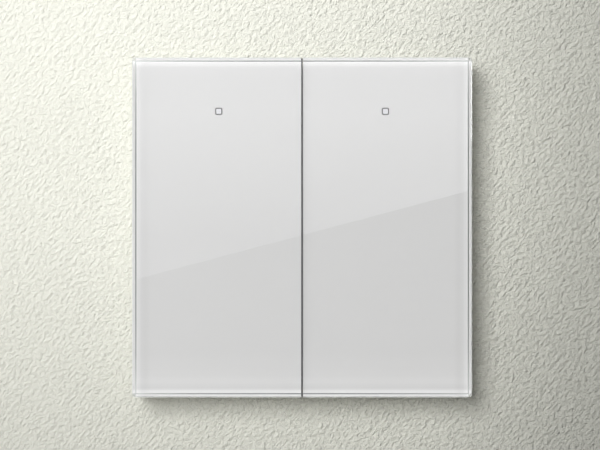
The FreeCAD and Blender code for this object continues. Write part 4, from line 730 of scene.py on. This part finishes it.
plaster_tree.links.new(wall_mix.outputs[0], plaster_tree.nodes["Material Output"].inputs["Surface"])
wall.data.materials.append(plaster)

bpy.ops.object.select_all(action="DESELECT")
bpy.ops.mesh.primitive_plane_add(size=12, location=(0, 0, FLOOR_LEVEL))
floor = bpy.context.object
floor.name = "pale_floor"
floor_paint, floor_tree, floor_shader = new_material("pale_floor_paint", BACKDROP, Roughness=0.8)
floor_light = add_node(floor_tree, "LightPath")
# To the camera it's evenly pale
floor_glow = add_node(floor_tree, "Emission", {"Color": linear("#DEDEDA"), "Strength": 1.0})
floor_mix = add_node(
    floor_tree,
    "MixShader",
    {0: floor_light.outputs["Is Camera Ray"], 1: floor_shader.outputs[0], 2: floor_glow.outputs[0]},
)
floor_tree.links.new(floor_mix.outputs[0], floor_tree.nodes["Material Output"].inputs["Surface"])
floor.data.materials.append(floor_paint)

# The room's even light, and the pale backdrop that the camera and the gloss see
AMBIENT = 0.175
world = bpy.data.worlds.new("soft_room")
bpy.context.scene.world = world
world.use_nodes = True
world_tree = world.node_tree
ambient = world_tree.nodes["Background"]
ambient.inputs["Color"].default_value = linear("#FFFFFF")
ambient.inputs["Strength"].default_value = AMBIENT
shown = add_node(world_tree, "Background", {"Color": linear(BACKDROP), "Strength": 1.0})
rays = add_node(world_tree, "LightPath")
seen = rays.outputs["Is Camera Ray"]
for kind in ("Is Glossy Ray", "Is Transmission Ray"):
    seen = add_node(world_tree, "Math", {0: seen, 1: rays.outputs[kind]}, operation="MAXIMUM").outputs[0]
# Rays that have left a matt surface gather the ambient light, also where they pass through the glass
not_gathering = add_node(
    world_tree, "Math", {0: rays.outputs["Diffuse Depth"], 1: 0.5}, operation="LESS_THAN"
)
backdrop = add_node(world_tree, "Math", {0: seen, 1: not_gathering.outputs[0]}, operation="MULTIPLY")
world_mix = add_node(
    world_tree, "MixShader", {0: backdrop.outputs[0], 1: ambient.outputs[0], 2: shown.outputs[0]}
)
world_tree.links.new(world_mix.outputs[0], world_tree.nodes["World Output"].inputs["Surface"])


# The light
# One large soft window to the upper left of the camera, a lamp in the room behind the wall for
# the back, and a lamp far to the right that grazes the wall and lights the side faces.


def soft_light(name, place, width, height, radiance):
    """A rectangular lamp of even radiance, aimed at the switch."""
    data = bpy.data.lights.new(name, "AREA")
    data.shape = "RECTANGLE"
    data.size = width
    data.size_y = height
    data.energy = radiance * math.pi * width * height
    lamp = bpy.data.objects.new(name, data)
    bpy.context.scene.collection.objects.link(lamp)
    lamp.location = place
    lamp.rotation_euler = (-Vector(place)).to_track_quat("-Z", "Y").to_euler()
    lamp.visible_camera = False


soft_light("window_light", (-0.39, -0.91, 0.36), width=0.56, height=0.66, radiance=10.0)
soft_light("back_light", (0.5, 1.4, 0.7), width=0.9, height=0.9, radiance=5.0)
soft_light("side_light", (1.1, -0.08, 0.55), width=0.5, height=0.5, radiance=5.0)

# The pale upper wall of the room, which the glass mirrors down to a slanting boundary
TILT = math.radians(14.9)
CARD_AWAY = 1.512
CARD_LOW = -0.0067
CARD_WIDTH = 0.6
CARD_HEIGHT = 0.36
CARD_DIM, CARD_BRIGHT = 1.7, 3.4
BRIGHTENS_FROM, BRIGHTENS_TO = -0.01, 0.08
bpy.ops.object.select_all(action="DESELECT")
bpy.ops.mesh.primitive_plane_add(
    size=1,
    location=(-math.sin(TILT) * CARD_HEIGHT / 2, -CARD_AWAY, CARD_LOW + math.cos(TILT) * CARD_HEIGHT / 2),
    rotation=(-math.pi / 2, -TILT, 0),
)
card = bpy.context.object
card.name = "mirrored_upper_wall"
card.scale = (CARD_WIDTH, CARD_HEIGHT, 1)
bpy.ops.object.transform_apply(location=True, rotation=True, scale=True)
card_paint = bpy.data.materials.new("mirrored_paint")
card_paint.use_nodes = True
card_tree = card_paint.node_tree
card_tree.nodes.remove(card_tree.nodes["Principled BSDF"])
card_axes = add_node(card_tree, "SeparateXYZ", {0: add_node(card_tree, "TexCoord").outputs["Object"]})
card_level = add_node(
    card_tree,
    "MapRange",
    {
        "Value": card_axes.outputs["Z"],
        "From Min": BRIGHTENS_FROM,
        "From Max": BRIGHTENS_TO,
        "To Min": CARD_DIM,
        "To Max": CARD_BRIGHT,
    },
)
card_glow = add_node(card_tree, "Emission", {"Strength": card_level.outputs["Result"]})
card_tree.links.new(card_glow.outputs[0], card_tree.nodes["Material Output"].inputs["Surface"])
card.data.materials.append(card_paint)
for ray in ("camera", "diffuse", "shadow", "transmission"):
    setattr(card, f"visible_{ray}", False)


# The camera, straight in front with a long lens
CAMERA_PLACE = (-0.00053, -0.8545, 0.00062)
camera_data = bpy.data.cameras.new("long_lens")
camera_data.lens = 200
camera_data.sensor_width = 36
camera_data.clip_end = 50
camera = bpy.data.objects.new("camera", camera_data)
bpy.context.scene.collection.objects.link(camera)
camera.location = CAMERA_PLACE
camera.rotation_euler = (math.pi / 2, 0, 0)
bpy.context.scene.camera = camera
bpy.context.scene.view_settings.view_transform = "Standard"
